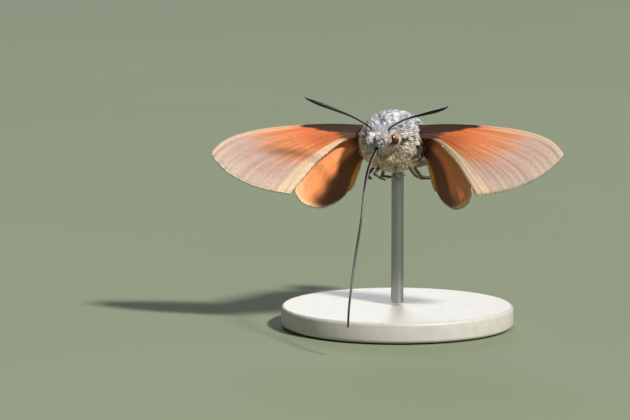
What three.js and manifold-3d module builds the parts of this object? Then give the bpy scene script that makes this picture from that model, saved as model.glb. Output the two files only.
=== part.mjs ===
// A hummingbird hawk moth, hovering, as a life-size still model on a plain display stand.
// Millimetres, +Z up. The moth faces -Y, its left side is at +X, and the origin is the middle of the
// stand's underside. The moth is modelled level about the middle of its thorax, then pitched and banked.
import * as THREE from "three";
import { mergeVertices } from "three/addons/utils/BufferGeometryUtils.js";
import Module from "manifold-3d";

const wasm = await Module();
wasm.setup();

// Pose and stand
const GAP = 0.3; // between neighbouring pieces
const PITCH_DEG = 5; // head above tail
const BANK_DEG = 1.5; // left side higher
const BODY_HEIGHT = 24; // middle of the thorax above the floor
const BODY_AHEAD = 2.2; // of the stand's middle, so that the weight is over the rod
const BASE_RADIUS = 15;
const BASE_HEIGHT = 2.6;
const BASE_BEVEL = 0.5;
const ROD_RADIUS = 0.8;

// Body sections along Y: [y, middle z, half width, half height up, half height down]. The head and what
// is on it are modelled about the head's own middle, and the head is turned a little to its right.
const HEAD_TURN_DEG = 9;
const HEAD_MIDDLE = new THREE.Vector3(0.35, -6.3, 0.5);
const HEAD = [
  [2.1, -0.2, 1.95, 1.75, 1.65],
  [1.1, 0, 2.1, 1.8, 1.7],
  [0.2, 0.1, 2.12, 1.68, 1.6],
  [-0.6, 0.05, 1.92, 1.45, 1.42],
  [-1.15, -0.05, 1.45, 1.1, 1.05],
  [-1.4, -0.1, 0.85, 0.6, 0.6],
  [-1.5, -0.15, 0.3, 0.2, 0.2],
];
const THORAX = [
  [-4.15, 0.3, 1.95, 1.9, 1.85],
  [-3.8, 0.2, 2.7, 2.65, 2.6],
  [-3.2, 0.1, 3.4, 3.35, 3.25],
  [-2.2, 0, 3.95, 3.9, 3.8],
  [-0.6, 0, 4.2, 4.15, 4.1],
  [1.3, 0, 4.15, 4.1, 4.0],
  [3.1, -0.05, 3.8, 3.75, 3.65],
  [4.6, -0.1, 3.4, 3.3, 3.25],
];
const ABDOMEN = [
  [4.9, -0.15, 3.35, 3.2, 3.1],
  [7.0, -0.3, 3.55, 3.3, 3.15],
  [9.1, -0.55, 3.5, 3.1, 2.95],
  [11.2, -0.85, 3.2, 2.75, 2.6],
  [13.2, -1.15, 2.65, 2.2, 2.1],
  [14.9, -1.45, 2.05, 1.55, 1.45],
  [15.8, -1.6, 1.6, 1.1, 1.05],
];
const SHOULDER_FLAP = [[1.95, -2.9, 2.1], [2.5, -1.5, 2.4], [2.55, 0.4, 2.4], [2.3, 2.0, 2.3]];
const COLLAR = [[-2.3, -3.1, 1.1], [-1.5, -3.25, 2.2], [0, -3.3, 2.7], [1.5, -3.25, 2.2], [2.3, -3.1, 1.1]];
const BODY_SIDES = 24;
const SEGMENTS = 7; // rings of the abdomen
const SEGMENT_STEP = 0.18; // how far each ring's hem stands over the next

const EYE_RADIUS = 0.9;
const EYE = [1.5, -0.3, -0.08]; // from the middle of the head

const ANTENNA_ROOT = [[1.1, -0.75, 0.95], [1.5, -0.7, 1.45]]; // socket and elbow, from the middle of the head
const ANTENNA = [
  [3.2, -6.8, 2.95],
  [5.4, -7.15, 3.72],
  [7.6, -7.65, 4.4],
  [9.0, -8.05, 4.9],
  [9.35, -8.2, 5.15],
];
const ANTENNA_RISE = 0.073; // the right one is carried higher and the left one lower, for each mm outward
const ANTENNA_RISES_FROM = 1.35;
const ANTENNA_RADII = [0.25, 0.25, 0.25, 0.29, 0.34, 0.3, 0.1];

// From the middle of the head: up in front of the face
const PALP = [
  [0.6, -0.9, -0.85],
  [0.7, -1.5, -0.75],
  [0.75, -2.0, -0.4],
  [0.74, -2.2, 0.05],
  [0.64, -2.1, 0.5],
];
const PALP_RADII = [0.4, 0.55, 0.57, 0.48, 0.2];

const PROBOSCIS = [
  [0.3, -7.4, -0.5],
  [0.15, -8.2, -0.75],
  [0.08, -8.9, -1.35],
  [0, -10.1, -2.2],
  [0, -11.8, -3.5],
  [0.05, -13.4, -5.7],
  [0.17, -15.3, -9.5],
  [0.2, -17.6, -13.2],
  [0.24, -19.5, -16.6],
  [0.24, -20.9, -19.8],
  [0.24, -21.4, -22.3],
];
const PROBOSCIS_RADII = [0.36, 0.33, 0.3, 0.28, 0.26, 0.18];
const PROBOSCIS_KNEE = 0.24; // share of its length where its two lengths meet
const KNEE_GAP = 0.012; // as a share of its length, which is about 26 mm

// Legs: hip, knee, ankle and toe of the left leg of each pair, with the thickness of each length
const LEGS = {
  fore: {
    joints: [[1.1, -2.2, -3.5], [1.35, -4.1, -4.05], [1.05, -2.1, -4.6], [0.95, -0.6, -4.85]],
    radii: [0.34, 0.3, 0.25],
  },
  mid: {
    joints: [[2.0, -0.6, -3.4], [3.2, -0.9, -4.3], [3.4, 1.6, -4.75], [4.2, 3.2, -4.75]],
    radii: [0.36, 0.3, 0.25],
  },
  hind: {
    joints: [[1.75, 2.4, -3.3], [2.6, 4.1, -4.5], [2.3, 8.4, -4.75], [1.9, 12.4, -4.55]],
    radii: [0.38, 0.32, 0.25],
  },
};
const LIMB_TAPER = [0.75, 1.1, 1.0, 0.7];
const FOOT_TAPER = [1, 1, 0.95, 0.75];
const SPUR = { length: 1.1, radius: 0.25, shares: [0.55, 0.92] }; // along the hind shin

// Wings, as the four edges of the left one seen from the front: [outward, downward] from the root.
// Each vein is [name, place along the root, place along the outer edge, share of the length where it
// starts], counted from the leading edge, and the cell is the stretch that the cross vein closes.
const FOREWING = {
  root: [3.2, -0.5, 2.05],
  sweep: 0.12, // forward for each mm outward
  tilt: [0.46, 0.38], // forward for each mm down, at the root and at the tip
  camber: 0.4,
  leading: [[0, 0], [5, -0.15], [9.5, 0.05], [13.2, 0.42], [16.4, 1.1], [18.7, 2.15], [20.1, 3.7]],
  outer: [[20.1, 3.7], [19.6, 4.5], [17.7, 6.15], [15.5, 7.3], [12.7, 8.2], [9.1, 8.75]],
  trailing: [[0, 1.5], [2.9, 1.9], [5.5, 3.9], [7.4, 6.3], [9.1, 8.75]],
  veins: [
    ["radius", 0.11, 0.05, 0],
    ["sector", 0.24, 0.15, 0],
    ["media_1", 0.35, 0.29, 0.5],
    ["media_2", 0.46, 0.43, 0.5],
    ["media_3", 0.57, 0.57, 0.5],
    ["cubitus_1", 0.68, 0.7, 0],
    ["cubitus_2", 0.79, 0.83, 0.34],
    ["anal", 0.9, 0.94, 0],
  ],
  cell: { end: 0.5, from: "sector", to: "cubitus_1" },
  stations: 13,
};
const HINDWING = {
  root: [3.5, 1.25, 1.05],
  sweep: 0.8,
  tilt: [-0.03, -0.03],
  camber: -0.35,
  leading: [[0, 0.3], [1.9, 0.6], [3.7, 1.1], [5.3, 2.1], [6.6, 3.95], [7.5, 5.8], [8.05, 7.5]],
  outer: [[8.05, 7.5], [7.6, 8.6], [6.5, 9.3], [5.3, 9.5], [4.2, 9.1], [3.2, 8.4], [2.4, 7.4]],
  trailing: [[0, 2.6], [0.8, 3.5], [1.5, 5.2], [1.85, 6.4], [2.4, 7.4]],
  veins: [
    ["subcosta", 0.1, 0.08, 0],
    ["sector", 0.24, 0.22, 0],
    ["media_1", 0.37, 0.36, 0.45],
    ["media_3", 0.51, 0.51, 0.45],
    ["cubitus_1", 0.64, 0.65, 0],
    ["cubitus_2", 0.77, 0.79, 0.32],
    ["anal", 0.9, 0.92, 0],
  ],
  cell: { end: 0.45, from: "sector", to: "cubitus_1" },
  stations: 11,
};
const MEMBRANE_HALF = 0.25;
const VEIN_HALF = 0.37;
const EDGE_HALF = 0.16;
const LEADING_EDGE_HALF = 0.32;
const VEIN_FOOT = 0.2; // from a vein's crest to the membrane beside it
const WING_OVERLAP_ROOM = GAP + 0.12;

// Tail fan and the side tufts of the abdomen
const FAN = {
  tiers: [
    { vanes: 10, spread_deg: 48, length: 4.6, lift: 0.14, root: [16.5, -1.5] },
    { vanes: 8, spread_deg: 38, length: 4.1, lift: -0.16, root: [16.4, -1.95] },
  ],
  width: 0.68,
  thickness: 0.27,
};
const FAN_CORE = [
  [16.1, -1.65, 1.55, 1.0, 0.95],
  [17.0, -1.73, 1.5, 0.85, 0.8],
  [17.9, -1.8, 1.1, 0.5, 0.45],
];
const TUFTS = {
  rings: [9.0, 10.8, 12.6],
  locks: 4,
  levels: [0.7, -0.85],
  length: 2.5,
  width: 0.5,
  thickness: 0.28,
  flare_deg: 22,
};

const COLOURS = {
  coat_grey: 0x9a9a9c,
  coat_pale: 0xc9bfb0,
  eye: 0x3a241a,
  dark: 0x241a16,
  forewing: 0xc06a3a,
  hindwing: 0xb8602f,
  fan: 0x2a2420,
  leg: 0x8c765c,
  base: 0xe9e6df,
  rod: 0xb9bcc0,
};

const UP = new THREE.Vector3(0, 0, 1);
const LEFT = new THREE.Vector3(1, 0, 0);
const degrees = THREE.MathUtils.degToRad;
const mix = THREE.MathUtils.lerp;
const vector = (p) => new THREE.Vector3(...p);
const mirrored = (p, side) => [side * p[0], p[1], p[2]];
const turnedWithHead = (p) => p.applyAxisAngle(UP, -degrees(HEAD_TURN_DEG)).add(HEAD_MIDDLE);
const onHead = (p, side) => turnedWithHead(vector(mirrored(p, side)));

function randomFrom(seed) {
  let state = seed;
  return () => {
    state = (state * 1664525 + 1013904223) % 4294967296;
    return state / 4294967296;
  };
}

// Solids

function solidOfPoints(points, faces) {
  const corners = (face) => face.map((i) => points[i]);
  const volume = faces.reduce((sum, face) => {
    const [a, b, c] = corners(face);
    return sum + a.dot(b.clone().cross(c)) / 6;
  }, 0);
  const outward = volume < 0 ? faces.map(([a, b, c]) => [a, c, b]) : faces;
  return new wasm.Manifold(
    new wasm.Mesh({
      numProp: 3,
      vertProperties: new Float32Array(points.flatMap((p) => p.toArray())),
      triVerts: new Uint32Array(outward.flat()),
    }),
  );
}

function solidOfGeometry(geometry) {
  const bare = geometry.clone();
  bare.deleteAttribute("normal");
  bare.deleteAttribute("uv");
  const merged = mergeVertices(bare, 1e-4);
  return new wasm.Manifold(
    new wasm.Mesh({
      numProp: 3,
      vertProperties: merged.attributes.position.array,
      triVerts: new Uint32Array(merged.index.array),
    }),
  );
}

function geometryOfSolid(solid) {
  const mesh = solid.getMesh();
  const positions = new Float32Array(mesh.numVert * 3);
  for (let i = 0; i < mesh.numVert; i++)
    positions.set(mesh.vertProperties.subarray(i * mesh.numProp, i * mesh.numProp + 3), i * 3);
  const geometry = new THREE.BufferGeometry();
  geometry.setAttribute("position", new THREE.BufferAttribute(positions, 3));
  geometry.setIndex(new THREE.BufferAttribute(mesh.triVerts, 1));
  geometry.computeVertexNormals();
  return geometry;
}

const join = (solids) => solids.reduce((sum, solid) => sum.add(solid));
const largest = (solid) => solid.decompose().sort((a, b) => b.volume() - a.volume())[0];

// Joins rings of points, each with the same count, into a closed solid with flat ends.
function solidOfRings(rings) {
  const sides = rings[0].length;
  const points = rings.flat();
  const faces = [];
  for (let r = 0; r + 1 < rings.length; r++)
    for (let i = 0; i < sides; i++) {
      const a = r * sides + i;
      const b = r * sides + ((i + 1) % sides);
      faces.push([a, b, b + sides], [a, b + sides, a + sides]);
    }
  const middle = (ring) => ring.reduce((sum, p) => sum.add(p), new THREE.Vector3()).divideScalar(sides);
  const first = points.push(middle(rings[0])) - 1;
  const last = points.push(middle(rings.at(-1))) - 1;
  const end = (rings.length - 1) * sides;
  for (let i = 0; i < sides; i++) {
    const j = (i + 1) % sides;
    faces.push([first, j, i], [last, end + i, end + j]);
  }
  return solidOfPoints(points, faces);
}

// A table's row at a share of the way from its first to its last, on a smooth curve through the rows.
function smoothRow(table, share) {
  const at = share * (table.length - 1);
  const k = Math.min(Math.floor(at), table.length - 2);
  const f = at - k;
  const row = (i) => table[Math.max(0, Math.min(table.length - 1, i))];
  const [p, a, b, n] = [row(k - 1), row(k), row(k + 1), row(k + 2)];
  return a.map((_, c) => {
    const rise = (b[c] - p[c]) / 2;
    const fall = (n[c] - a[c]) / 2;
    const bend = 2 * (a[c] - b[c]) + rise + fall;
    return ((bend * f + (3 * (b[c] - a[c]) - 2 * rise - fall)) * f + rise) * f + a[c];
  });
}

const evenShares = (count) => Array.from({ length: count + 1 }, (_, k) => k / count);

// A rounded body along Y. Growing it by the gap gives the room that its neighbours keep clear.
function bodyAlongY(table, shares, grow = 0, hem = () => 0, place = (p) => p) {
  const backward = Math.sign(table.at(-1)[0] - table[0][0]);
  const rings = shares.map((share, r) => {
    const [y, z, wide, up, down] = smoothRow(table, share);
    const end = r === 0 ? -1 : r === shares.length - 1 ? 1 : 0;
    const size = grow + hem(share);
    return Array.from({ length: BODY_SIDES }, (_, i) => {
      const angle = (2 * Math.PI * i) / BODY_SIDES;
      const high = Math.sin(angle) > 0 ? up : down;
      const point = new THREE.Vector3(
        Math.cos(angle) * (wide + size),
        y + grow * end * backward,
        z + Math.sin(angle) * (high + size),
      );
      return place(point);
    });
  });
  return solidOfRings(rings);
}

// A tapered round or flat piece along a curve. Its width lies across the curve and the given direction.
function sweep(curve, steps, sides, radii, flatness = 1, across = UP) {
  const rings = [];
  for (let k = 0; k <= steps; k++) {
    const share = k / steps;
    const middle = curve.getPointAt(share);
    const along = curve.getTangentAt(share);
    const wide = new THREE.Vector3().crossVectors(across, along).normalize();
    const thick = new THREE.Vector3().crossVectors(along, wide);
    const [radius] = smoothRow(radii.map((r) => [r]), share);
    const ring = [];
    for (let i = 0; i < sides; i++) {
      const angle = (2 * Math.PI * i) / sides;
      ring.push(
        middle
          .clone()
          .addScaledVector(wide, Math.cos(angle) * radius)
          .addScaledVector(thick, Math.sin(angle) * radius * flatness),
      );
    }
    rings.push(ring);
  }
  return solidOfRings(rings);
}

const curveThrough = (points, side = 1) =>
  new THREE.CatmullRomCurve3(points.map((p) => vector(mirrored(p, side))), false, "centripetal");

// A flat, tapered lock or vane, which bends towards a second direction as it goes.
function lock(root, out, bend, length, width, thickness, flat) {
  const tip = root.clone().addScaledVector(out, length);
  const middle = root.clone().addScaledVector(out, length * 0.5).addScaledVector(bend, -length * 0.06);
  const curve = new THREE.QuadraticBezierCurve3(root, middle, tip.addScaledVector(bend, length * 0.05));
  return sweep(curve, 3, 4, [width * 0.75, width, width * 0.95, width * 0.32], thickness / width, flat);
}

// Body

const thoraxRoom = bodyAlongY(THORAX, evenShares(12), GAP);
const headOf = (grow) => bodyAlongY(HEAD, evenShares(12), grow, () => 0, turnedWithHead);
const headRoom = headOf(GAP);

function proboscisSolid(from, to, grow = 0) {
  const whole = curveThrough(PROBOSCIS);
  const points = [];
  const radii = [];
  const steps = 6;
  for (let k = 0; k <= steps; k++) {
    const share = mix(from, to, k / steps);
    points.push(whole.getPointAt(share).toArray());
    radii.push(smoothRow(PROBOSCIS_RADII.map((r) => [r]), share)[0] + grow);
  }
  return sweep(curveThrough(points), 12, 8, radii, 1, LEFT);
}

function eyeSolid(side, grow = 0) {
  const ball = new THREE.IcosahedronGeometry(EYE_RADIUS + grow, 3);
  ball.translate(...onHead(EYE, side).toArray());
  return solidOfGeometry(ball);
}

const headSolid = () =>
  largest(headOf(0).subtract(eyeSolid(1, GAP)).subtract(eyeSolid(-1, GAP)).subtract(thoraxRoom));

function palpSolid(side) {
  const path = PALP.map((p) => onHead(p, side).toArray());
  const palp = sweep(curveThrough(path), 8, 12, PALP_RADII, 1, LEFT);
  return largest(palp.subtract(headRoom).subtract(proboscisSolid(0, PROBOSCIS_KNEE, GAP)));
}

function antennaSolid(side) {
  const root = ANTENNA_ROOT.map((p) => onHead(p, side).toArray());
  const carried = ANTENNA.map(([x, y, z]) => {
    const rise = -side * ANTENNA_RISE * (x - ANTENNA_RISES_FROM);
    return mirrored([x, y, z + rise], side);
  });
  const shaft = sweep(curveThrough([...root, ...carried]), 18, 8, ANTENNA_RADII);
  return largest(shaft.subtract(headRoom).subtract(eyeSolid(side, GAP)));
}

// The shoulder flaps and the collar stand a little out of the thorax, as the coat does there.
function thoraxSolid() {
  const flaps = [1, -1].map((side) =>
    sweep(curveThrough(SHOULDER_FLAP, side), 7, 10, [0.4, 1.05, 1.15, 0.95, 0.4], 0.8),
  );
  const ruff = sweep(curveThrough(COLLAR), 9, 8, [0.3, 0.75, 0.85, 0.75, 0.3], 0.8);
  return largest(join([bodyAlongY(THORAX, evenShares(12)), ...flaps, ruff]));
}

// Each ring of the abdomen swells to its hem, and the side tufts point back and out from under three hems.
function abdomenSolid() {
  const random = randomFrom(7);
  const inRing = [0.03, 0.5, 0.97];
  const shares = evenShares(SEGMENTS - 1).flatMap((_, k) => inRing.map((at) => (k + at) / SEGMENTS));
  const hem = (share) => SEGMENT_STEP * (((share * SEGMENTS) % 1) - 0.5);
  const body = bodyAlongY(ABDOMEN, shares, 0, hem);
  const locks = [];
  for (const side of [1, -1])
    for (const y of TUFTS.rings)
      for (let k = 0; k < TUFTS.locks; k++) {
        const share = (y - ABDOMEN[0][0]) / (ABDOMEN.at(-1)[0] - ABDOMEN[0][0]);
        const [, z, wide] = smoothRow(ABDOMEN, share);
        const level = mix(...TUFTS.levels, k / (TUFTS.locks - 1));
        const root = new THREE.Vector3(side * (wide - 0.45 - 0.12 * level * level), y, z + level);
        const flare = degrees(TUFTS.flare_deg + 8 * (random() - 0.5));
        const out = new THREE.Vector3(side * Math.sin(flare), Math.cos(flare), -0.12 + 0.08 * random());
        const inward = LEFT.clone().multiplyScalar(-side);
        const length = TUFTS.length * (0.9 + 0.25 * random());
        locks.push(lock(root, out.normalize(), inward, length, TUFTS.width, TUFTS.thickness, LEFT));
      }
  return largest(join([body, ...locks]));
}

function fanSolid() {
  const random = randomFrom(11);
  const vanes = FAN.tiers.flatMap((tier) =>
    Array.from({ length: tier.vanes }, (_, k) => {
      const angle = degrees(mix(-tier.spread_deg, tier.spread_deg, k / (tier.vanes - 1)));
      const [y, z] = tier.root;
      const root = new THREE.Vector3(Math.sin(angle) * 1.25, y + 0.35 * Math.cos(angle), z);
      const out = new THREE.Vector3(Math.sin(angle) * 0.8, Math.cos(angle), tier.lift).normalize();
      const length = tier.length * (0.94 + 0.12 * random()) * (1 - 0.12 * Math.abs(Math.sin(angle)));
      return lock(root, out, UP, length, FAN.width, FAN.thickness, UP);
    }),
  );
  return largest(join([bodyAlongY(FAN_CORE, evenShares(4)), ...vanes]));
}

function legLength(from, to, radius, ends) {
  const line = new THREE.LineCurve3(from, to);
  const across = Math.abs(line.getTangentAt(0).z) > 0.9 ? LEFT : UP;
  return sweep(line, 3, 6, ends.map((e) => e * radius), 1, across);
}

function legSolid(pair, side) {
  const { joints, radii } = LEGS[pair];
  const at = joints.map((p) => vector(mirrored(p, side)));
  const pieces = radii.map((radius, k) => {
    const along = at[k + 1].clone().sub(at[k]).normalize();
    const from = at[k].clone().addScaledVector(along, k ? -radius * 0.5 : 0);
    const to = at[k + 1].clone().addScaledVector(along, radius * 0.5);
    return legLength(from, to, radius, k === 2 ? FOOT_TAPER : LIMB_TAPER);
  });
  if (pair === "hind")
    for (const share of SPUR.shares) {
      const from = at[1].clone().lerp(at[2], share);
      const to = from.clone().add(new THREE.Vector3(side * 0.45, SPUR.length, -0.35));
      pieces.push(legLength(from, to, SPUR.radius, [1, 1, 0.9, 0.4]));
    }
  return largest(join(pieces).subtract(thoraxRoom));
}

// Wings

// A patch between the four edges, by the share of the span and the share of the chord.
function wingPatch(wing) {
  const edge = (points) => new THREE.SplineCurve(points.map((p) => new THREE.Vector2(...p)));
  const [leading, outer, trailing] = [edge(wing.leading), edge(wing.outer), edge(wing.trailing)];
  const [frontRoot, frontTip] = [leading.getPoint(0), leading.getPoint(1)];
  const [backRoot, backTip] = [trailing.getPoint(0), trailing.getPoint(1)];
  return (s, t) => {
    const a = leading.getPointAt(s);
    const b = trailing.getPointAt(s);
    const c = frontRoot.clone().lerp(backRoot, t);
    const d = outer.getPointAt(t);
    const corners = frontRoot.clone().lerp(frontTip, s).lerp(backRoot.clone().lerp(backTip, s), t);
    return a.lerp(b, t).add(c.lerp(d, s)).sub(corners);
  };
}

// Where each column of the wing's grid runs, and how much of a vein's crest it carries at each station.
function wingColumns(wing) {
  const columns = [{ place: () => 0, crest: () => 0, edge: "leading" }];
  for (const [, atRoot, atEdge, start] of wing.veins) {
    const place = (s) => mix(atRoot, atEdge, THREE.MathUtils.smoothstep(s, 0, 0.9));
    const foot = (s) => mix(0.036, 0.018, s);
    columns.push({ place: (s) => place(s) - foot(s), crest: () => 0 });
    columns.push({ place, crest: (s) => (s >= start ? 1 : 0) });
    columns.push({ place: (s) => place(s) + foot(s), crest: () => 0 });
  }
  columns.push({ place: () => 1, crest: () => 0, edge: "trailing" });
  return columns;
}

// Places a point of the wing's patch in space: its surface leans forward, and swells between its edges.
function wingPoint(wing, patch, side, s, t) {
  const flat = patch(s, t);
  const tilt = mix(wing.tilt[0], wing.tilt[1], s);
  const swell = wing.camber * Math.sin(Math.PI * t) * Math.sin(Math.PI * Math.min(1, s * 1.15));
  const point = new THREE.Vector3(
    wing.root[0] + flat.x,
    wing.root[1] - flat.x * wing.sweep - flat.y * tilt - swell,
    wing.root[2] - flat.y,
  );
  point.x *= side;
  return point;
}

function wingSolid(wing, side, grow = 0) {
  const patch = wingPatch(wing);
  const columns = wingColumns(wing);
  const rows = wing.stations;
  const cellRow = Math.round(wing.cell.end * rows);
  const column = (name) => 2 + 3 * wing.veins.findIndex(([vein]) => vein === name);
  const [cellFrom, cellTo] = [column(wing.cell.from), column(wing.cell.to)];
  const share = (r) => (r === cellRow ? wing.cell.end : r / rows);

  const middle = [];
  for (let r = 0; r <= rows; r++)
    middle.push(columns.map((c) => wingPoint(wing, patch, side, share(r), c.place(share(r)))));

  const halfThickness = (r, c) => {
    const s = share(r);
    if (columns[c].edge === "leading") return mix(LEADING_EDGE_HALF, EDGE_HALF, s);
    if (columns[c].edge === "trailing") return EDGE_HALF;
    if (r === rows) return columns[c].crest(s) ? mix(EDGE_HALF, VEIN_HALF, 0.35) : EDGE_HALF;
    const crossVein = r === cellRow && c > cellFrom && c < cellTo;
    return crossVein || columns[c].crest(s) ? VEIN_HALF : MEMBRANE_HALF;
  };
  const normal = (r, c) => {
    const along = middle[Math.min(rows, r + 1)][c].clone().sub(middle[Math.max(0, r - 1)][c]);
    const last = columns.length - 1;
    const across = middle[r][Math.min(last, c + 1)].clone().sub(middle[r][Math.max(0, c - 1)]);
    return along.cross(across).normalize();
  };

  const wide = columns.length;
  const faceOf = (sign) =>
    middle.flatMap((row, r) =>
      row.map((p, c) => p.clone().addScaledVector(normal(r, c), sign * (halfThickness(r, c) + grow))),
    );
  const points = [...faceOf(1), ...faceOf(-1)];
  const back = (rows + 1) * wide;
  const faces = [];
  for (let r = 0; r < rows; r++)
    for (let c = 0; c + 1 < wide; c++) {
      const [a, b, d, e] = [r * wide + c, r * wide + c + 1, (r + 1) * wide + c, (r + 1) * wide + c + 1];
      faces.push([a, b, e], [a, e, d], [back + a, back + e, back + b], [back + a, back + d, back + e]);
    }
  const rim = [];
  for (let c = 0; c < wide; c++) rim.push(c);
  for (let r = 1; r <= rows; r++) rim.push(r * wide + wide - 1);
  for (let c = wide - 2; c >= 0; c--) rim.push(rows * wide + c);
  for (let r = rows - 1; r > 0; r--) rim.push(r * wide);
  rim.forEach((a, i) => {
    const b = rim[(i + 1) % rim.length];
    faces.push([a, back + a, back + b], [a, back + b, b]);
  });
  return solidOfPoints(points, faces);
}

const forewingSolid = (side) => largest(wingSolid(FOREWING, side).subtract(thoraxRoom));
const hindwingSolid = (side) =>
  largest(
    wingSolid(HINDWING, side)
      .subtract(wingSolid(FOREWING, side, WING_OVERLAP_ROOM))
      .subtract(thoraxRoom),
  );

// Assembly

function piece(name, solid, colour, roughness = 0.9) {
  const material = new THREE.MeshStandardMaterial({ color: colour, roughness, metalness: 0 });
  const mesh = new THREE.Mesh(geometryOfSolid(solid), material);
  mesh.name = name;
  return mesh;
}

const proboscisBase = proboscisSolid(0, PROBOSCIS_KNEE - KNEE_GAP / 2);
const proboscisShaft = proboscisSolid(PROBOSCIS_KNEE + KNEE_GAP / 2, 1);

const moth = new THREE.Group();
moth.rotation.set(degrees(-PITCH_DEG), degrees(-BANK_DEG), 0);
moth.position.set(0, -BODY_AHEAD, BODY_HEIGHT);

moth.add(piece("head", headSolid(), COLOURS.coat_grey));
moth.add(piece("thorax", thoraxSolid(), COLOURS.coat_grey));
moth.add(piece("abdomen", abdomenSolid(), COLOURS.coat_grey));
moth.add(piece("tail_fan", fanSolid(), COLOURS.fan));
moth.add(piece("proboscis_base", largest(proboscisBase.subtract(headRoom)), COLOURS.dark, 0.35));
moth.add(piece("proboscis_shaft", proboscisShaft, COLOURS.dark, 0.35));
for (const [label, side] of [["left", 1], ["right", -1]]) {
  moth.add(piece(`eye_${label}`, eyeSolid(side), COLOURS.eye, 0.2));
  moth.add(piece(`palp_${label}`, palpSolid(side), COLOURS.coat_pale));
  moth.add(piece(`antenna_${label}`, antennaSolid(side), COLOURS.dark, 0.6));
  moth.add(piece(`forewing_${label}`, forewingSolid(side), COLOURS.forewing));
  moth.add(piece(`hindwing_${label}`, hindwingSolid(side), COLOURS.hindwing));
  for (const pair of Object.keys(LEGS))
    moth.add(piece(`leg_${pair}_${label}`, legSolid(pair, side), COLOURS.leg));
}
moth.updateMatrixWorld(true);

// Stand: a round base with a bevelled edge, and one rod up to the underside of the thorax
function baseSolid() {
  const profile = [
    [0, 0],
    [BASE_RADIUS, 0],
    [BASE_RADIUS, BASE_HEIGHT - BASE_BEVEL],
    [BASE_RADIUS - BASE_BEVEL, BASE_HEIGHT],
    [0, BASE_HEIGHT],
  ];
  const lathe = new THREE.LatheGeometry(profile.map((p) => new THREE.Vector2(...p)), 48);
  return solidOfGeometry(lathe.rotateX(Math.PI / 2));
}

function rodSolid() {
  const bottom = BASE_HEIGHT + GAP;
  const length = BODY_HEIGHT - bottom;
  const rod = new THREE.CylinderGeometry(ROD_RADIUS, ROD_RADIUS, length, 20);
  rod.rotateX(Math.PI / 2).translate(0, 0, bottom + length / 2);
  const room = geometryOfSolid(thoraxRoom).applyMatrix4(moth.matrixWorld);
  return largest(solidOfGeometry(rod).subtract(solidOfGeometry(room)));
}

const model = new THREE.Group();
model.add(moth);
model.add(piece("stand_base", baseSolid(), COLOURS.base, 0.5));
model.add(piece("stand_rod", rodSolid(), COLOURS.rod, 0.3));

export default model;
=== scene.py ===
import math

import bpy
import numpy as np
from mathutils import Matrix, Vector, kdtree


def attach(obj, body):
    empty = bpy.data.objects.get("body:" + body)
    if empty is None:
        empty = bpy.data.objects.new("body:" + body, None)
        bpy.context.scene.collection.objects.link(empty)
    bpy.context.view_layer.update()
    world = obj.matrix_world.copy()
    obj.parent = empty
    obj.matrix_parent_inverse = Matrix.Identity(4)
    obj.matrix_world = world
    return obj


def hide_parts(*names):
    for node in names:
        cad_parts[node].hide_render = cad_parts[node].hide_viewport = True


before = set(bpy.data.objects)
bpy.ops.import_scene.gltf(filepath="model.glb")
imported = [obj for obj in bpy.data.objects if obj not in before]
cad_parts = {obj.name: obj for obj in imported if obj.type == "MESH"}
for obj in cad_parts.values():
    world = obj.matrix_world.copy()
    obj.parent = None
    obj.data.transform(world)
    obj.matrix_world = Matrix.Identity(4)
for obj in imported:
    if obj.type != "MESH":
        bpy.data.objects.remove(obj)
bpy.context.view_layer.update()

# Pose, as in the solids
MM = 0.001
PITCH_DEG = 5  # head above tail
BANK_DEG = 1.5  # left side higher
BODY_HEIGHT = 24
BODY_AHEAD = 2.2

# The head is turned a little to its right, about its middle
HEAD_TURN_DEG = 9
HEAD_MIDDLE = np.array([0.35, -6.3, 0.5])
TURN_FROM, TURN_TO = -4.0, -5.2

# The coat's outside from front to back, before the head is turned: y, middle z, half width, half height
# up and down, and depth of the coat
BODY = [
    (-7.8, 0.35, 0.3, 0.2, 0.2, 0.1),
    (-7.7, 0.4, 0.85, 0.6, 0.6, 0.15),
    (-7.45, 0.45, 1.45, 1.1, 1.05, 0.2),
    (-6.9, 0.55, 1.92, 1.45, 1.42, 0.28),
    (-6.1, 0.6, 2.12, 1.68, 1.6, 0.35),
    (-5.2, 0.5, 2.1, 1.8, 1.7, 0.45),
    (-4.5, 0.35, 2.05, 1.85, 1.8, 0.55),
    (-4.1, 0.3, 2.25, 2.2, 2.15, 0.65),
    (-3.8, 0.2, 2.7, 2.65, 2.6, 0.75),
    (-3.2, 0.1, 3.4, 3.35, 3.25, 0.85),
    (-2.2, 0, 3.95, 3.9, 3.8, 0.95),
    (-0.6, 0, 4.2, 4.15, 4.1, 1.0),
    (1.3, 0, 4.15, 4.1, 4.0, 0.95),
    (3.1, -0.05, 3.8, 3.75, 3.65, 0.85),
    (4.9, -0.15, 3.4, 3.25, 3.15, 0.6),
    (7.0, -0.3, 3.55, 3.3, 3.15, 0.4),
    (9.1, -0.55, 3.5, 3.1, 2.95, 0.35),
    (11.2, -0.85, 3.2, 2.75, 2.6, 0.35),
    (13.2, -1.15, 2.65, 2.2, 2.1, 0.35),
    (14.9, -1.45, 2.05, 1.55, 1.45, 0.35),
    (15.8, -1.6, 1.6, 1.1, 1.05, 0.35),
    (16.8, -1.7, 1.45, 0.85, 0.8, 0.4),
    (17.7, -1.8, 0.7, 0.35, 0.35, 0.2),
]
NECK = -4.4
WAIST = 4.9
ABDOMEN_END = 15.8
SEGMENTS = 7
SEGMENT_STEP = 0.16

# Eyes, palps and the roots of the antennae are placed from the middle of the head
EYE = (1.5, -0.3, -0.08)
EYE_RADIUS = 0.9

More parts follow.
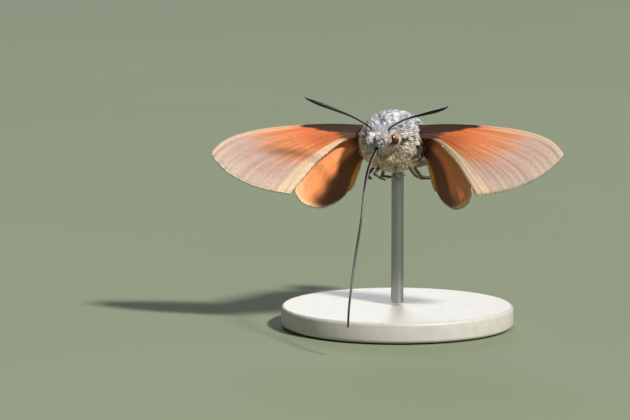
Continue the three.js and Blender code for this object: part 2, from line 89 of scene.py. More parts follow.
ANTENNA_ROOT = [(1.1, -0.75, 0.8), (1.22, -0.76, 1.05), (1.5, -0.7, 1.45)]
ANTENNA = [(3.2, -6.8, 2.95), (5.4, -7.15, 3.72), (7.6, -7.65, 4.4), (9.0, -8.05, 4.9), (9.35, -8.2, 5.15)]
ANTENNA_RISE = 0.073  # the right one is carried higher, for each mm outward
ANTENNA_RISES_FROM = 1.35
ANTENNA_RADII = [0.12, 0.1, 0.1, 0.11, 0.14, 0.18, 0.22, 0.24, 0.19, 0.05]

PALP = [(0.55, -0.9, -0.8), (0.62, -1.5, -0.72), (0.66, -2.0, -0.4), (0.65, -2.18, 0.05), (0.56, -2.05, 0.45)]
PALP_RADII = [0.3, 0.4, 0.42, 0.34, 0.14]

PROBOSCIS = [
    (0.3, -7.4, -0.5), (0.15, -8.2, -0.75), (0.08, -8.9, -1.35), (0, -10.1, -2.2), (0, -11.8, -3.5),
    (0.05, -13.4, -5.7), (0.17, -15.3, -9.5), (0.2, -17.6, -13.2), (0.24, -19.5, -16.6),
    (0.24, -20.9, -19.8), (0.24, -21.4, -22.3),
]
PROBOSCIS_RADII = [0.19, 0.18, 0.17, 0.16, 0.15, 0.14, 0.13, 0.12, 0.09]

# Legs: hip, knee, ankle and toe of the left leg of each pair, and the half thickness of each length
LEGS = {
    "fore": (
        [(1.1, -2.2, -3.0), (1.35, -4.1, -4.05), (1.05, -2.1, -4.6), (0.95, -0.6, -4.85)],
        [0.16, 0.13, 0.07],
    ),
    "mid": (
        [(2.0, -0.6, -2.8), (3.2, -0.9, -4.3), (3.4, 1.6, -4.75), (4.2, 3.2, -4.75)],
        [0.17, 0.13, 0.07],
    ),
    "hind": (
        [(1.75, 2.4, -2.8), (2.6, 4.1, -4.5), (2.3, 8.4, -4.75), (1.9, 12.4, -4.55)],
        [0.2, 0.14, 0.08],
    ),
}

# Wings, as the edges of the left one seen from the front: (outward, downward) from the root. It goes
# forward by its sweep for each mm outward and by its tilt, at the root and at the tip, for each mm down.
# Its leading edge is set back by its tuck behind the wing in front. A vein has its place between the
# leading and trailing edges at the root and at the outer edge, and where along the span it starts. The
# cell is closed by a bar at a share of the span, between two of the veins.
FOREWING = {
    "root": (3.2, -0.5, 2.05),
    "sweep": 0.12,
    "tilt": (0.46, 0.38),
    "camber": 0.4,
    "tuck": 0,
    "leading": [(0, 0), (5, -0.15), (9.5, 0.05), (13.2, 0.42), (16.4, 1.1), (18.7, 2.15), (20.1, 3.7)],
    "outer": [(20.1, 3.7), (19.6, 4.5), (17.7, 6.15), (15.5, 7.3), (12.7, 8.2), (9.1, 8.75)],
    "trailing": [(0, 1.5), (2.9, 1.9), (5.5, 3.9), (7.4, 6.3), (9.1, 8.75)],
    "veins": [
        (0.11, 0.05, 0), (0.24, 0.15, 0), (0.35, 0.29, 0.5), (0.46, 0.43, 0.5),
        (0.57, 0.57, 0.5), (0.68, 0.7, 0), (0.79, 0.83, 0.34), (0.9, 0.94, 0),
    ],
    "cell": (0.5, 1, 5),
}
HINDWING = {
    "root": (3.5, 1.25, 1.05),
    "sweep": 0.8,
    "tilt": (-0.03, -0.03),
    "camber": -0.35,
    "tuck": 1.0,
    "leading": [(0, -0.1), (1.9, 0.1), (3.7, 0.45), (5.3, 1.35), (6.75, 3.3), (7.7, 5.4), (8.15, 7.4)],
    "outer": [(8.15, 7.4), (7.6, 8.6), (6.5, 9.3), (5.3, 9.5), (4.2, 9.1), (3.2, 8.4), (2.4, 7.4)],
    "trailing": [(0, 2.6), (0.8, 3.5), (1.5, 5.2), (1.85, 6.4), (2.4, 7.4)],
    "veins": [
        (0.1, 0.08, 0), (0.24, 0.22, 0), (0.37, 0.36, 0.45), (0.51, 0.51, 0.45),
        (0.64, 0.65, 0), (0.77, 0.79, 0.32), (0.9, 0.92, 0),
    ],
    "cell": (0.45, 1, 4),
}
MEMBRANE_HALF = 0.05
VEIN_RISE = 0.035
LEADING_EDGE_HALF = 0.16
FRINGE = 0.45

# Camera, as in the photograph (630 by 420 pixels)
PHOTO_MIDDLE = (315, 210)
PHOTO_THORAX = (393, 141.5)
PIXELS_PER_MM = 7.82
CAMERA_AZIMUTH_DEG = 15.5
CAMERA_ELEVATION_DEG = 6
LENS_MM = 180
SENSOR_MM = 36

# A whole turn in radians, and the moth's two sides by their sign along X
TURN = 2 * math.pi
SIDES = ((1, "left"), (-1, "right"))


# Colours, curves and mixing


def srgb(red, green, blue):
    """A colour given as 0 to 255 on a screen, as the linear values that shaders take."""
    screen = np.array([red, green, blue]) / 255
    return np.where(screen <= 0.04045, screen / 12.92, ((screen + 0.055) / 1.055) ** 2.4)


def mix(a, b, share):
    return a + (b - a) * share


def step(low, high, value):
    """Smooth from 0 at low to 1 at high, and level beyond both. Low may be the larger of the two."""
    share = np.clip((value - low) / (high - low), 0, 1)
    return share * share * (3 - 2 * share)


def smooth_rows(table, shares):
    """Rows at shares of the way through a table, on a smooth curve through its rows."""
    rows = np.array(table, float)
    if rows.ndim == 1:
        rows = rows[:, None]
    last = len(rows) - 1
    at = np.clip(np.asarray(shares, float), 0, 1) * last
    k = np.minimum(np.floor(at).astype(int), last - 1)
    f = (at - k)[..., None]
    before, here = rows[np.maximum(k - 1, 0)], rows[k]
    there, after = rows[k + 1], rows[np.minimum(k + 2, last)]
    rise = (there - before) / 2
    fall = (after - here) / 2
    bend = 2 * (here - there) + rise + fall
    return ((bend * f + 3 * (there - here) - 2 * rise - fall) * f + rise) * f + here


def even_rows(table, shares):
    """As smooth_rows, but with the shares measured along the curve's length."""
    fine = smooth_rows(table, np.linspace(0, 1, 401))
    length = np.concatenate([[0], np.cumsum(np.linalg.norm(np.diff(fine, axis=0), axis=1))])
    at = np.asarray(shares, float) * length[-1]
    return np.stack([np.interp(at, length, fine[:, c]) for c in range(fine.shape[1])], -1)


def unit(vectors):
    return vectors / np.maximum(np.linalg.norm(vectors, axis=-1, keepdims=True), 1e-9)


def ripple(points, size, seed=0):
    """Smooth, uneven noise from -1 to 1 with features of about the given size."""
    random = np.random.default_rng(seed)
    total = np.zeros(points.shape[:-1])
    for _ in range(6):
        direction = unit(random.normal(size=points.shape[-1]))
        run = points @ direction * (TURN / size) * random.uniform(0.7, 1.5)
        total += np.sin(run + random.uniform(0, 7))
    return np.clip(total / 3, -1, 1)


# Meshes

PLACE = (
    Matrix.Translation((0, -BODY_AHEAD * MM, BODY_HEIGHT * MM))
    @ Matrix.Rotation(math.radians(-PITCH_DEG), 4, "X")
    @ Matrix.Rotation(math.radians(-BANK_DEG), 4, "Y")
    @ Matrix.Scale(MM, 4)
)
TO_WORLD = np.array(PLACE)


def to_world(points):
    return points @ TO_WORLD[:3, :3].T + TO_WORLD[:3, 3]


def in_scene(name, data):
    piece = bpy.data.objects.new(name, data)
    bpy.context.scene.collection.objects.link(piece)
    return piece


def mesh_object(name, points, quads, triangles, tint, uv=None, uv_name="UVMap"):
    """An object from points in the moth's frame, with a colour and a place on its unwrap for each point."""
    quads = np.asarray(quads, int).reshape(-1, 4)
    triangles = np.asarray(triangles, int).reshape(-1, 3)
    corners = np.concatenate([quads.ravel(), triangles.ravel()])
    starts = np.concatenate([np.arange(len(quads)) * 4, quads.size + np.arange(len(triangles)) * 3])
    mesh = bpy.data.meshes.new(name)
    mesh.vertices.add(len(points))
    mesh.vertices.foreach_set("co", to_world(points).astype(np.float32).ravel())
    mesh.loops.add(len(corners))
    mesh.loops.foreach_set("vertex_index", corners.astype(np.int32))
    mesh.polygons.add(len(starts))
    mesh.polygons.foreach_set("loop_start", starts.astype(np.int32))
    mesh.update(calc_edges=True)
    mesh.polygons.foreach_set("use_smooth", np.full(len(starts), True))
    if uv is not None:
        layer = mesh.uv_layers.new(name=uv_name)
        layer.uv.foreach_set("vector", uv[corners].astype(np.float32).ravel())
    colours = mesh.color_attributes.new("tint", "FLOAT_COLOR", "POINT")
    rgba = np.concatenate([np.clip(tint, 0, 1), np.ones((len(points), 1))], 1)
    colours.data.foreach_set("color", rgba.astype(np.float32).ravel())
    return in_scene(name, mesh)


def grid_quads(rows, columns, closed=False, first=0):
    """Faces of a grid of points, joined round from its last column to its first where closed."""
    r, c = np.meshgrid(np.arange(rows - 1), np.arange(columns if closed else columns - 1), indexing="ij")
    a = r * columns + c
    b = r * columns + (c + 1) % columns
    return (np.stack([a, b, b + columns, a + columns], -1) + first).reshape(-1, 4)


def capped_faces(rows, sides):
    """Faces of a closed tube of rings, with a point at each end that comes after all the rings' points."""
    ring = np.arange(sides)
    after = (ring + 1) % sides
    last = (rows - 1) * sides
    start, end = np.full(sides, rows * sides), np.full(sides, rows * sides + 1)
    caps = [np.stack([start, after, ring], 1), np.stack([end, last + ring, last + after], 1)]
    return grid_quads(rows, sides, closed=True), np.concatenate(caps)


def closed_rings(name, rings, colours, inside_out):
    """An object from rings of points, closed at each end by a point at the middle of its ring."""
    quads, caps = capped_faces(*rings.shape[:2])
    if inside_out:
        quads, caps = quads[:, ::-1], caps[:, ::-1]
    points, tint = rings.reshape(-1, 3), colours.reshape(-1, 3)
    points = np.concatenate([points, rings[0].mean(0)[None], rings[-1].mean(0)[None]])
    return mesh_object(name, points, quads, caps, np.concatenate([tint, tint[:1], tint[-1:]]))


def tube(path, radii, steps, sides, across, swell=None):
    """A closed tube along a curve: points, quads, caps, and each point's share of the length and angle."""
    shares = np.linspace(0, 1, steps)
    middle = even_rows(path, shares)
    along = unit(np.gradient(middle, axis=0))
    wide = unit(np.cross(across, along))
    thick = np.cross(along, wide)
    radius = smooth_rows(radii, shares)[:, 0]
    if swell is not None:
        radius = radius * swell(shares)
    angles = np.linspace(0, TURN, sides, endpoint=False)
    rings = (
        middle[:, None]
        + wide[:, None] * (np.cos(angles)[None, :, None] * radius[:, None, None])
        + thick[:, None] * (np.sin(angles)[None, :, None] * radius[:, None, None])
    )
    points = np.concatenate([rings.reshape(-1, 3), middle[:1], middle[-1:]])
    share = np.concatenate([np.repeat(shares, sides), [0, 1]])
    angle = np.concatenate([np.tile(angles, steps), [0, 0]])
    return points, *capped_faces(steps, sides), share, angle


def joined(parts):
    """Several (points, quads, triangles, tint) as one."""
    points, quads, triangles, tints = zip(*parts)
    firsts = np.cumsum([0] + [len(p) for p in points])
    return (
        np.concatenate(points),
        np.concatenate([q + first for q, first in zip(quads, firsts)]),
        np.concatenate([t + first for t, first in zip(triangles, firsts)]),
        np.concatenate(tints),
    )


# The body's surface

SECTIONS = smooth_rows(BODY, np.linspace(0, 1, 900))


def section(y):
    """The body at a place along it: middle level, half width, half heights up and down, depth of the coat."""
    return [np.interp(y, SECTIONS[:, 0], SECTIONS[:, c]) for c in range(1, 6)]


def segment_hem(y):
    """How far the abdomen's rings stand out: each swells back to its hem, over the next one's start."""
    ring = (y - WAIST) / (ABDOMEN_END - WAIST) * SEGMENTS
    inside = (y > WAIST) & (y < ABDOMEN_END)
    return np.where(inside, SEGMENT_STEP * ((ring % 1) ** 1.5 - 0.5), 0)


def turned(points, share):
    """Points ahead of the neck, turned with the head by a share of its turn."""
    angle = np.radians(-HEAD_TURN_DEG) * share
    x, y = points[..., 0], points[..., 1] - HEAD_MIDDLE[1]
    return np.stack(
        [
            x * np.cos(angle) - y * np.sin(angle) + HEAD_MIDDLE[0] * share,
            x * np.sin(angle) + y * np.cos(angle) + HEAD_MIDDLE[1],
            points[..., 2],
        ],
        -1,
    )


def on_head(points, side=1):
    """Points given from the middle of the head, on its left or mirrored to its right."""
    return turned(np.array(points) * (side, 1, 1) + (0, HEAD_MIDDLE[1], HEAD_MIDDLE[2]), 1.0)


def body_point(y, angle, out=0.0):
    """A point at a distance out of the skin, by its place along the body and its angle up from the left."""
    middle, wide, up, down, depth = section(y)
    inset = out - depth + segment_hem(y)
    high = np.where(np.sin(angle) > 0, up, down)
    across = np.cos(angle) * np.maximum(wide + inset, 0.02)
    level = middle + np.sin(angle) * np.maximum(high + inset, 0.02)
    return turned(np.stack([across, y, level], -1), step(TURN_FROM, TURN_TO, y))


def body_normal(y, angle):
    d = 0.02
    along = body_point(y + d, angle) - body_point(y - d, angle)
    round_it = body_point(y, angle + d) - body_point(y, angle - d)
    return unit(np.cross(along, round_it))


# Markings of the coat, with painted sunlight on the back and painted shade at the wing roots. Skin and coat
# both take their colour from here.

GREY_PALE_SUNLIT = srgb(246, 246, 252)
GREY_MID = srgb(186, 186, 196)
GREY_DARK = srgb(84, 84, 94)
CREAM = srgb(246, 230, 212)
BROWN_GAP = srgb(72, 52, 34)
OLIVE = srgb(112, 86, 48)
BUFF = srgb(236, 212, 184)
BUFF_YELLOW = srgb(232, 214, 160)
BACK_BROWN = srgb(116, 106, 96)
CROWN_GREY = srgb(148, 148, 158)
ABDOMEN_BROWN = srgb(98, 86, 74)
ABDOMEN_DARK = srgb(40, 34, 30)
ABDOMEN_OLIVE = srgb(88, 74, 52)
BELLY_BROWN = srgb(118, 98, 74)
WHITE = srgb(246, 243, 238)
BLACK = srgb(26, 22, 20)
EYE_TAN = srgb(190, 154, 124)
EYE_MAROON = srgb(78, 36, 32)
EYE_BLACK = srgb(14, 7, 7)
WING_ROOT = (3.6, -1.0, 1.9)
SPECK_SIZE, PATCH_SIZE = 0.45, 1.5


def blend(a, b, share):
    """Mixes two colours, by a share for each point."""
    return mix(a, b, np.asarray(share)[..., None])


def layered(colour, *layers):
    """A colour under layers of others, each of them with its share for each point."""
    for over, share in layers:
        colour = blend(colour, over, share)
    return colour


def back_colour(points):
    """Speckled grey, greyer on the crown and browner at the back. Its pale speckles are partly painted
    sunlight on the top of the thorax.
    """
    y = points[..., 1]
    speck, patch = ripple(points, SPECK_SIZE, 1), ripple(points, PATCH_SIZE, 2)
    return layered(
        GREY_MID,
        # Pale grey: partly the coat's own grey, partly painted sunlight
        (GREY_PALE_SUNLIT, step(-0.5, 0.4, speck + 0.5 * patch)),
        (GREY_DARK, 0.8 * step(0.3, 0.8, -speck - 0.3 * patch)),
        (CROWN_GREY, 0.6 * step(NECK - 0.2, NECK - 1, y)),
        (BACK_BROWN, 0.75 * step(0.5, 3.5, y)),
    )


def coat_colour(points, normals):
    """The coat's colour on the body: head and back grey, flanks cream, chest buff, abdomen brown."""
    y, z = points[..., 1], points[..., 2]
    nx, ny, nz = np.abs(normals[..., 0]), normals[..., 1], normals[..., 2]
    speck, patch = ripple(points, SPECK_SIZE, 1), ripple(points, PATCH_SIZE, 2)
    flank = blend(CREAM, BROWN_GAP, step(0.25, 0.7, ripple(points, 0.7, 3)))
    low_flank = blend(OLIVE, BROWN_GAP, step(-0.2, 0.8, patch))
    chest = blend(BUFF, BUFF_YELLOW, step(-2.6, -3.6, z))
    face = blend(WHITE, GREY_MID, step(0.0, 0.7, speck))
    side_share = step(0.5, 0.2, nz)
    head_share = step(NECK + 0.3, NECK - 0.5, y)
    to_wing = np.linalg.norm(np.abs(points * (1, 0, 0)) + points * (0, 1, 1) - WING_ROOT, axis=-1)
    return layered(
        back_colour(points),
        (flank, side_share),
        (low_flank, side_share * step(-2.6, -1.6, y + 0.8 * step(0.3, -0.4, nz))),
        (chest, step(-0.3, -0.6, nz + 0.35 * ny + 0.3 * nx)),
        (face, head_share * step(0.3, -0.2, nz)),
        (chest, head_share * step(-0.4, -0.65, nz)),
        # Painted shade where the wings meet the thorax
        (BROWN_GAP * 0.6, 0.9 * step(1.6, 0.9, to_wing)),
        (abdomen_colour(points, normals), step(WAIST - 0.8, WAIST + 0.6, y)),
    )


def abdomen_colour(points, normals):
    """Brown rings with a dark start and a pale hem, black on the rear sides and at the end."""
    nz = normals[..., 2]
    ring = (points[..., 1] - WAIST) / (ABDOMEN_END - WAIST) * SEGMENTS
    hem = (ring % 1) ** 3
    return layered(
        ABDOMEN_BROWN,
        (BACK_BROWN, step(-0.4, 0.6, ripple(points, 0.7, 5))),
        (ABDOMEN_DARK, 0.5 * step(0.55, 0.0, ring % 1) * step(0.2, 0.8, nz)),
        (CREAM, 0.35 * hem),
        (ABDOMEN_OLIVE, 0.7 * step(0.6, 0.1, np.abs(nz)) * step(2.6, 1.6, ring)),
        (BLACK, 0.85 * step(0.55, 0.2, np.abs(nz)) * step(3.0, 3.8, ring)),
        (blend(BELLY_BROWN, WHITE, 0.35 * hem), step(-0.25, -0.65, nz)),
        (BLACK, 0.9 * step(6.3, 7.0, ring)),
    )


# The coat

# A tuft's rings from its root: share of the length, breadth and tone. The tone is darker at the root as
# painted shade among the tufts
LONG_TUFT = ([0.0, 0.4, 0.75], [0.8, 1.0, 0.6], [0.62, 0.9, 1.05])
SHORT_TUFT = ([0.0, 0.55], [0.85, 0.85], [0.65, 1.0])
TIP_TONE = 1.12
SPECK_TONE = 0.3
VARIETY = (0.84, 1.16)  # of one tuft's tone
PATCH = (0.0015, 0.001)  # a tuft's steps on the unwrap: across, and from ring to ring


def tufts(
    name, slot, root, normal, lie, length, height, width, colour, uv,
    pull=0.0, clump=0.5, curl=0.0, seed=0, tip=1.0, specks=0.0, rings=LONG_TUFT,
):
    """Tapered tufts as one mesh: each leaves the skin and bends over along its lie, up to its height.

    Tufts of one clump lean together by pull, curl bends them sideways, and a share of them are dark specks.
    Tip is how much their tone changes from root to tip, with painted shade darkening the roots among the
    tufts. Each is a patch at its root's place on the unwrap.
    """
    random = np.random.default_rng(seed)
    shares, sizes, tones = rings
    points = tuft_points(root, normal, lie, length, height, width, pull, clump, curl, shares, sizes, random)
    count, size = points.shape[:2]
    quads, triangles = tuft_faces(size)
    first = np.arange(count)[:, None, None] * size
    # Darker towards the root: painted shade down among the tufts
    tone = 1 + (np.append(np.repeat(tones, 3), TIP_TONE) - 1) * tip
    variety = random.uniform(*VARIETY, count)
    variety = np.where(random.random(count) < specks, SPECK_TONE, variety)
    tint = colour[:, None] * np.maximum(tone, 0.1)[None, :, None] * variety[:, None, None]
    patch = np.array([(PATCH[0] * (k % 3 - 1), PATCH[1] * (k // 3) - PATCH[0]) for k in range(size)])
    place = np.clip(uv[:, None] + patch[None], 0.001, 0.999)
    piece = mesh_object(
        name, points.reshape(-1, 3), quads[None] + first, triangles[None] + first,
        tint.reshape(-1, 3), place.reshape(-1, 2), "OFBake",
    )
    dress(piece, COAT)


def tuft_points(root, normal, lie, length, height, width, pull, clump, curl, shares, sizes, random):
    """Rings of three points and a tip for each tuft, along a curve from its root."""
    count = len(root)
    advance = np.sqrt(np.maximum(length**2 - height**2, (0.3 * length) ** 2))
    side = unit(np.cross(normal, lie))
    sway = random.normal(0, 1, count)[:, None]
    tip_at = root + lie * advance[:, None] + normal * height[:, None]
    towards = np.zeros_like(root)
    if pull > 0:
        towards = (clump_tips(root, tip_at, clump, random) - tip_at) * pull

    def middle(t):
        return (
            root
            + lie * (advance * t)[:, None]
            + normal * (height * (1 - (1 - t) ** 2))[:, None]
            + towards * t**1.5
            + side * sway * (curl * math.sin(math.pi * 1.3 * t))
        )

    points = []
    for t, size in zip(shares, sizes):
        breadth = (np.ones(count) * width * size)[:, None]
        points += [middle(t) + side * breadth, middle(t) + normal * breadth * 0.7, middle(t) - side * breadth]
    return np.stack([*points, middle(1.0)], 1)


def tuft_faces(size):
    """Faces of one tuft of three points a ring, with its tip as the last point."""
    tip, top = size - 1, size - 4
    sides = ((0, 1), (1, 2), (2, 0))
    quads = [[k + a, k + b, k + b + 3, k + a + 3] for k in range(0, top, 3) for a, b in sides]
    triangles = [[top, top + 1, tip], [top + 1, top + 2, tip], [top + 2, top, tip], [0, 2, 1]]
    return np.array(quads), np.array(triangles)


def clump_tips(root, tip_at, clump, random):
    """For each tuft the tip of the clump that it belongs to. Clumps are about as far apart as clump says."""
    area = np.prod(np.sort(np.ptp(root, axis=0))[1:]) * 1.5
    count = int(np.clip(area / clump**2, 8, len(root) // 3 + 8))
    chosen = random.choice(len(root), min(count, len(root)), replace=False)
    tree = kdtree.KDTree(len(chosen))
    for k, i in enumerate(chosen):
        tree.insert(root[i], k)
    tree.balance()
    nearest = np.array([tree.find(p)[1] for p in root])
    return tip_at[chosen[nearest]]


# Multiples of these two, less their whole parts, spread any number of places evenly over a square
SPREAD = (0.7548776662, 0.5698402910)


def scatter(count, y_range, angle_range, seed):
    """Places spread evenly over a stretch of the body: y and angle."""
    random = np.random.default_rng(seed)
    ys = np.linspace(*y_range, 300)
    _, wide, up, _, depth = section(ys)
    size = np.maximum(wide + up - 2 * depth, 0.05)
    slope = np.sqrt(1 + np.gradient(size / 2, ys) ** 2)
    share = np.concatenate([[0], np.cumsum(size[1:] * slope[1:])])
    k = np.arange(count)
    across = (0.5 + k * SPREAD[0]) % 1
    along = (0.5 + k * SPREAD[1]) % 1
    y = np.interp(along * share[-1], share, ys)
    angle = angle_range[0] + across * (angle_range[1] - angle_range[0])
    return y + random.normal(0, 0.03, count), angle + random.normal(0, 0.01, count)


MOUTH = on_head((0, -1.9, -0.6))
ROOT_DEPTH = -0.05
# Tufts of the head are shorter and thinner: places along the body, and shares of the full size there
FACE_LENGTHS = ([-8.6, -7.5, -5.5, -3.5], [0.45, 0.6, 0.8, 1.0])
FACE_WIDTHS = ([-8.6, -6, -3.5], [0.55, 0.75, 1.0])


def lie_of(points, normals, droop, wave, seed):
    """Which way the coat lies: away from the mouth on the head, and back and a little down on the body."""
    back = np.zeros_like(points)
    back[:, 1] = 1
    back[:, 2] = -droop * (1 - np.abs(normals[:, 2]))
    from_mouth = unit(points - MOUTH)
    head_share = step(NECK - 0.2, NECK - 1.8, points[:, 1])[:, None]
    way = back * (1 - head_share) + from_mouth * head_share
    random = np.random.default_rng(seed)
    way = way + wave * np.stack([ripple(points, 1.3, seed + k) for k in range(3)], -1)
    way = way + random.normal(0, 0.14, points.shape)
    return unit(way - normals * np.sum(way * normals, -1, keepdims=True))


def body_coat(
    name, count, y_range, length, rise, width, seed, angle_range=(0, TURN), droop=0.15, wave=0.2, **look
):
    """A piece of the coat over a stretch of the body, out to the solids' surface, and clear of the eyes."""
    y, angle = scatter(count, y_range, angle_range, seed)
    root = body_point(y, angle, ROOT_DEPTH)
    normal = body_normal(y, angle)
    clear = np.ones(count, bool)
    for side in (1, -1):
        clear &= np.linalg.norm(root - on_head(EYE, side), axis=1) > EYE_RADIUS * 0.85
    y, angle, root, normal = y[clear], angle[clear], root[clear], normal[clear]
    random = np.random.default_rng(seed + 1)
    height = section(y)[4] * rise * random.uniform(0.75, 1.05, len(y))
    lengths = length * np.interp(y, *FACE_LENGTHS) * random.uniform(0.8, 1.15, len(y))
    height = np.minimum(height, 0.85 * lengths)
    widths = width * np.interp(y, *FACE_WIDTHS) * random.uniform(0.8, 1.2, len(y))
    turn = (angle - angle_range[0]) / (angle_range[1] - angle_range[0])
    run = (y - y_range[0]) / (y_range[1] - y_range[0])
    lie = lie_of(root, normal, droop, wave, seed)
    colour = coat_colour(root, normal)
    uv = np.stack([turn, run], -1)
    tufts(name, "coat_grey", root, normal, lie, lengths, height, widths, colour, uv, seed=seed, **look)


# Materials


def new_material(name, roughness, **sockets):
    """A new material with its constants set on the shader itself."""
    material = bpy.data.materials.new(name)
    material.use_nodes = True
    shader = material.node_tree.nodes["Principled BSDF"]
    shader.inputs["Roughness"].default_value = roughness
    for socket, value in sockets.items():
        shader.inputs[socket.replace("_", " ")].default_value = value
    return material


def add_node(material, kind, inputs, **settings):
    node = material.node_tree.nodes.new(kind)
    for key, value in settings.items():
        setattr(node, key, value)
    for key, value in inputs.items():
        if isinstance(value, bpy.types.NodeSocket):
            material.node_tree.links.new(value, node.inputs[key])
        else:
            node.inputs[key].default_value = value
    return node


def feed(material, socket, output):
    """Joins a node's output to a socket of the material's shader."""
    shader = material.node_tree.nodes["Principled BSDF"]
    material.node_tree.links.new(output, shader.inputs[socket])


def place_on_piece(material):
    return add_node(material, "ShaderNodeTexCoord", {}).outputs["Object"]


def noise_texture(material, place, scale, detail=5.0):
    inputs = {"Vector": place, "Scale": scale, "Detail": detail}
    return add_node(material, "ShaderNodeTexNoise", inputs).outputs["Fac"]


def cell_texture(material, scale):
    inputs = {"Vector": place_on_piece(material), "Scale": scale}
    return add_node(material, "ShaderNodeTexVoronoi", inputs).outputs["Distance"]


def ranged(material, value, low_in, high_in, low, high):
    """A value carried over from one range to another."""
    limits = {"From Min": low_in, "From Max": high_in, "To Min": low, "To Max": high}
    return add_node(material, "ShaderNodeMapRange", {"Value": value, **limits}).outputs["Result"]


def bumped(material, height, distance, strength=1.0):
    inputs = {"Height": height, "Distance": distance, "Strength": strength}
    feed(material, "Normal", add_node(material, "ShaderNodeBump", inputs).outputs["Normal"])


def colour_by_tint(material, tone):
    """Colours the material by the tint of its piece, scaled by a tone."""
    tint = add_node(material, "ShaderNodeAttribute", {}, attribute_name="tint")
    inputs = {0: tint.outputs["Color"], "Scale": tone}
    scaled = add_node(material, "ShaderNodeVectorMath", inputs, operation="SCALE")
    feed(material, "Base Color", scaled.outputs["Vector"])


def tinted(material, noise_scale, low, high):
    """Colours the material by the tint of its piece, lighter and darker with fine noise."""
    noise = noise_texture(material, place_on_piece(material), noise_scale, 4.0)
    colour_by_tint(material, ranged(material, noise, 0.3, 0.7, low, high))
    return noise


def coat_material():
    material = new_material("coat_of_scales", 0.72, Sheen_Weight=0.25, Specular_IOR_Level=0.35)
    tinted(material, 2500, 0.82, 1.18)
    return material


def skin_material():
    material = new_material("skin_under_coat", 0.85)
    bumped(material, tinted(material, 1800, 0.5, 0.8), 0.0002)
    return material


def wing_material():
    """Scaled membrane: rows of tiny scales in the tint, with streaks along the wing."""
    material = new_material("wing_scales", 0.6, Sheen_Weight=0.15, Specular_IOR_Level=0.4)
    unwrap = add_node(material, "ShaderNodeUVMap", {}, uv_map="UVMap").outputs["UV"]
    along_wing = add_node(material, "ShaderNodeMapping", {"Vector": unwrap, "Scale": (5.0, 55.0, 1.0)})
    streaks = noise_texture(material, along_wing.outputs["Vector"], 1.0)
    scales = cell_texture(material, 9000.0)
    streak_tone = ranged(material, streaks, 0.3, 0.7, 0.8, 1.2)
    scale_tone = ranged(material, scales, 0.0, 0.8, 1.08, 0.86)
    tone = add_node(material, "ShaderNodeMath", {0: streak_tone, 1: scale_tone}, operation="MULTIPLY")
    colour_by_tint(material, tone.outputs["Value"])
    bumped(material, scales, 0.00002, 0.6)
    return material


def eye_material():
    """A compound eye: glossy, with fine facets."""
    material = new_material("eye_facets", 0.12, Coat_Weight=0.6, Coat_Roughness=0.06)
    tinted(material, 900, 0.85, 1.15)
    bumped(material, cell_texture(material, 14000.0), 0.00002, 0.5)
    return material


def horn_material():
    material = new_material("black_horn", 0.28, Specular_IOR_Level=0.4)
    bumped(material, tinted(material, 3000, 0.8, 1.2), 0.00001, 0.5)
    return material


def leg_material():
    material = new_material("leg_scales", 0.7)
    bumped(material, tinted(material, 4000, 0.7, 1.2), 0.00006)
    return material


def plain_material(name, colour, roughness, noise_scale, distance, metallic=0.0):
    """A finish with a fine unevenness of tone and surface, for the stand and the floor."""
    material = new_material(name, roughness, Metallic=metallic)
    noise = noise_texture(material, place_on_piece(material), noise_scale)
    ramp = add_node(material, "ShaderNodeValToRGB", {"Fac": noise})
    dark, light = ramp.color_ramp.elements
    dark.position, light.position = 0.3, 0.7
    dark.color = (*(colour * 0.93), 1)
    light.color = (*np.minimum(colour * 1.05, 1), 1)
    feed(material, "Base Color", ramp.outputs["Color"])
    bumped(material, noise, distance, 0.4)
    return material


COAT = coat_material()
SKIN = skin_material()
WING = wing_material()
EYES = eye_material()
HORN = horn_material()
LEG = leg_material()
BASE_FINISH = plain_material("stand_base_finish", srgb(198, 195, 187), 0.45, 900, 0.00003)
ROD_FINISH = plain_material("stand_rod_finish", srgb(176, 178, 182), 0.28, 5000, 0.00002, 1.0)


def dress(piece, material):
    """Gives a piece its material, and makes it ride on the one body."""
    piece.data.materials.append(material)
    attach(piece, "root")
    return piece


# Body: one skin under the coat, from the face to the root of the tail fan


def build_skin():
    rows, sides = 260, 96
    y = np.linspace(BODY[0][0] + 0.02, BODY[-1][0], rows)
    angle = np.linspace(0, TURN, sides, endpoint=False)
    ys, angles = np.meshgrid(y, angle, indexing="ij")
    rings = body_point(ys, angles)
    skin = closed_rings("skin", rings, coat_colour(rings, body_normal(ys, angles)), inside_out=True)
    dress(skin, SKIN)
    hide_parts("head", "thorax", "abdomen", "tail_fan")


build_skin()

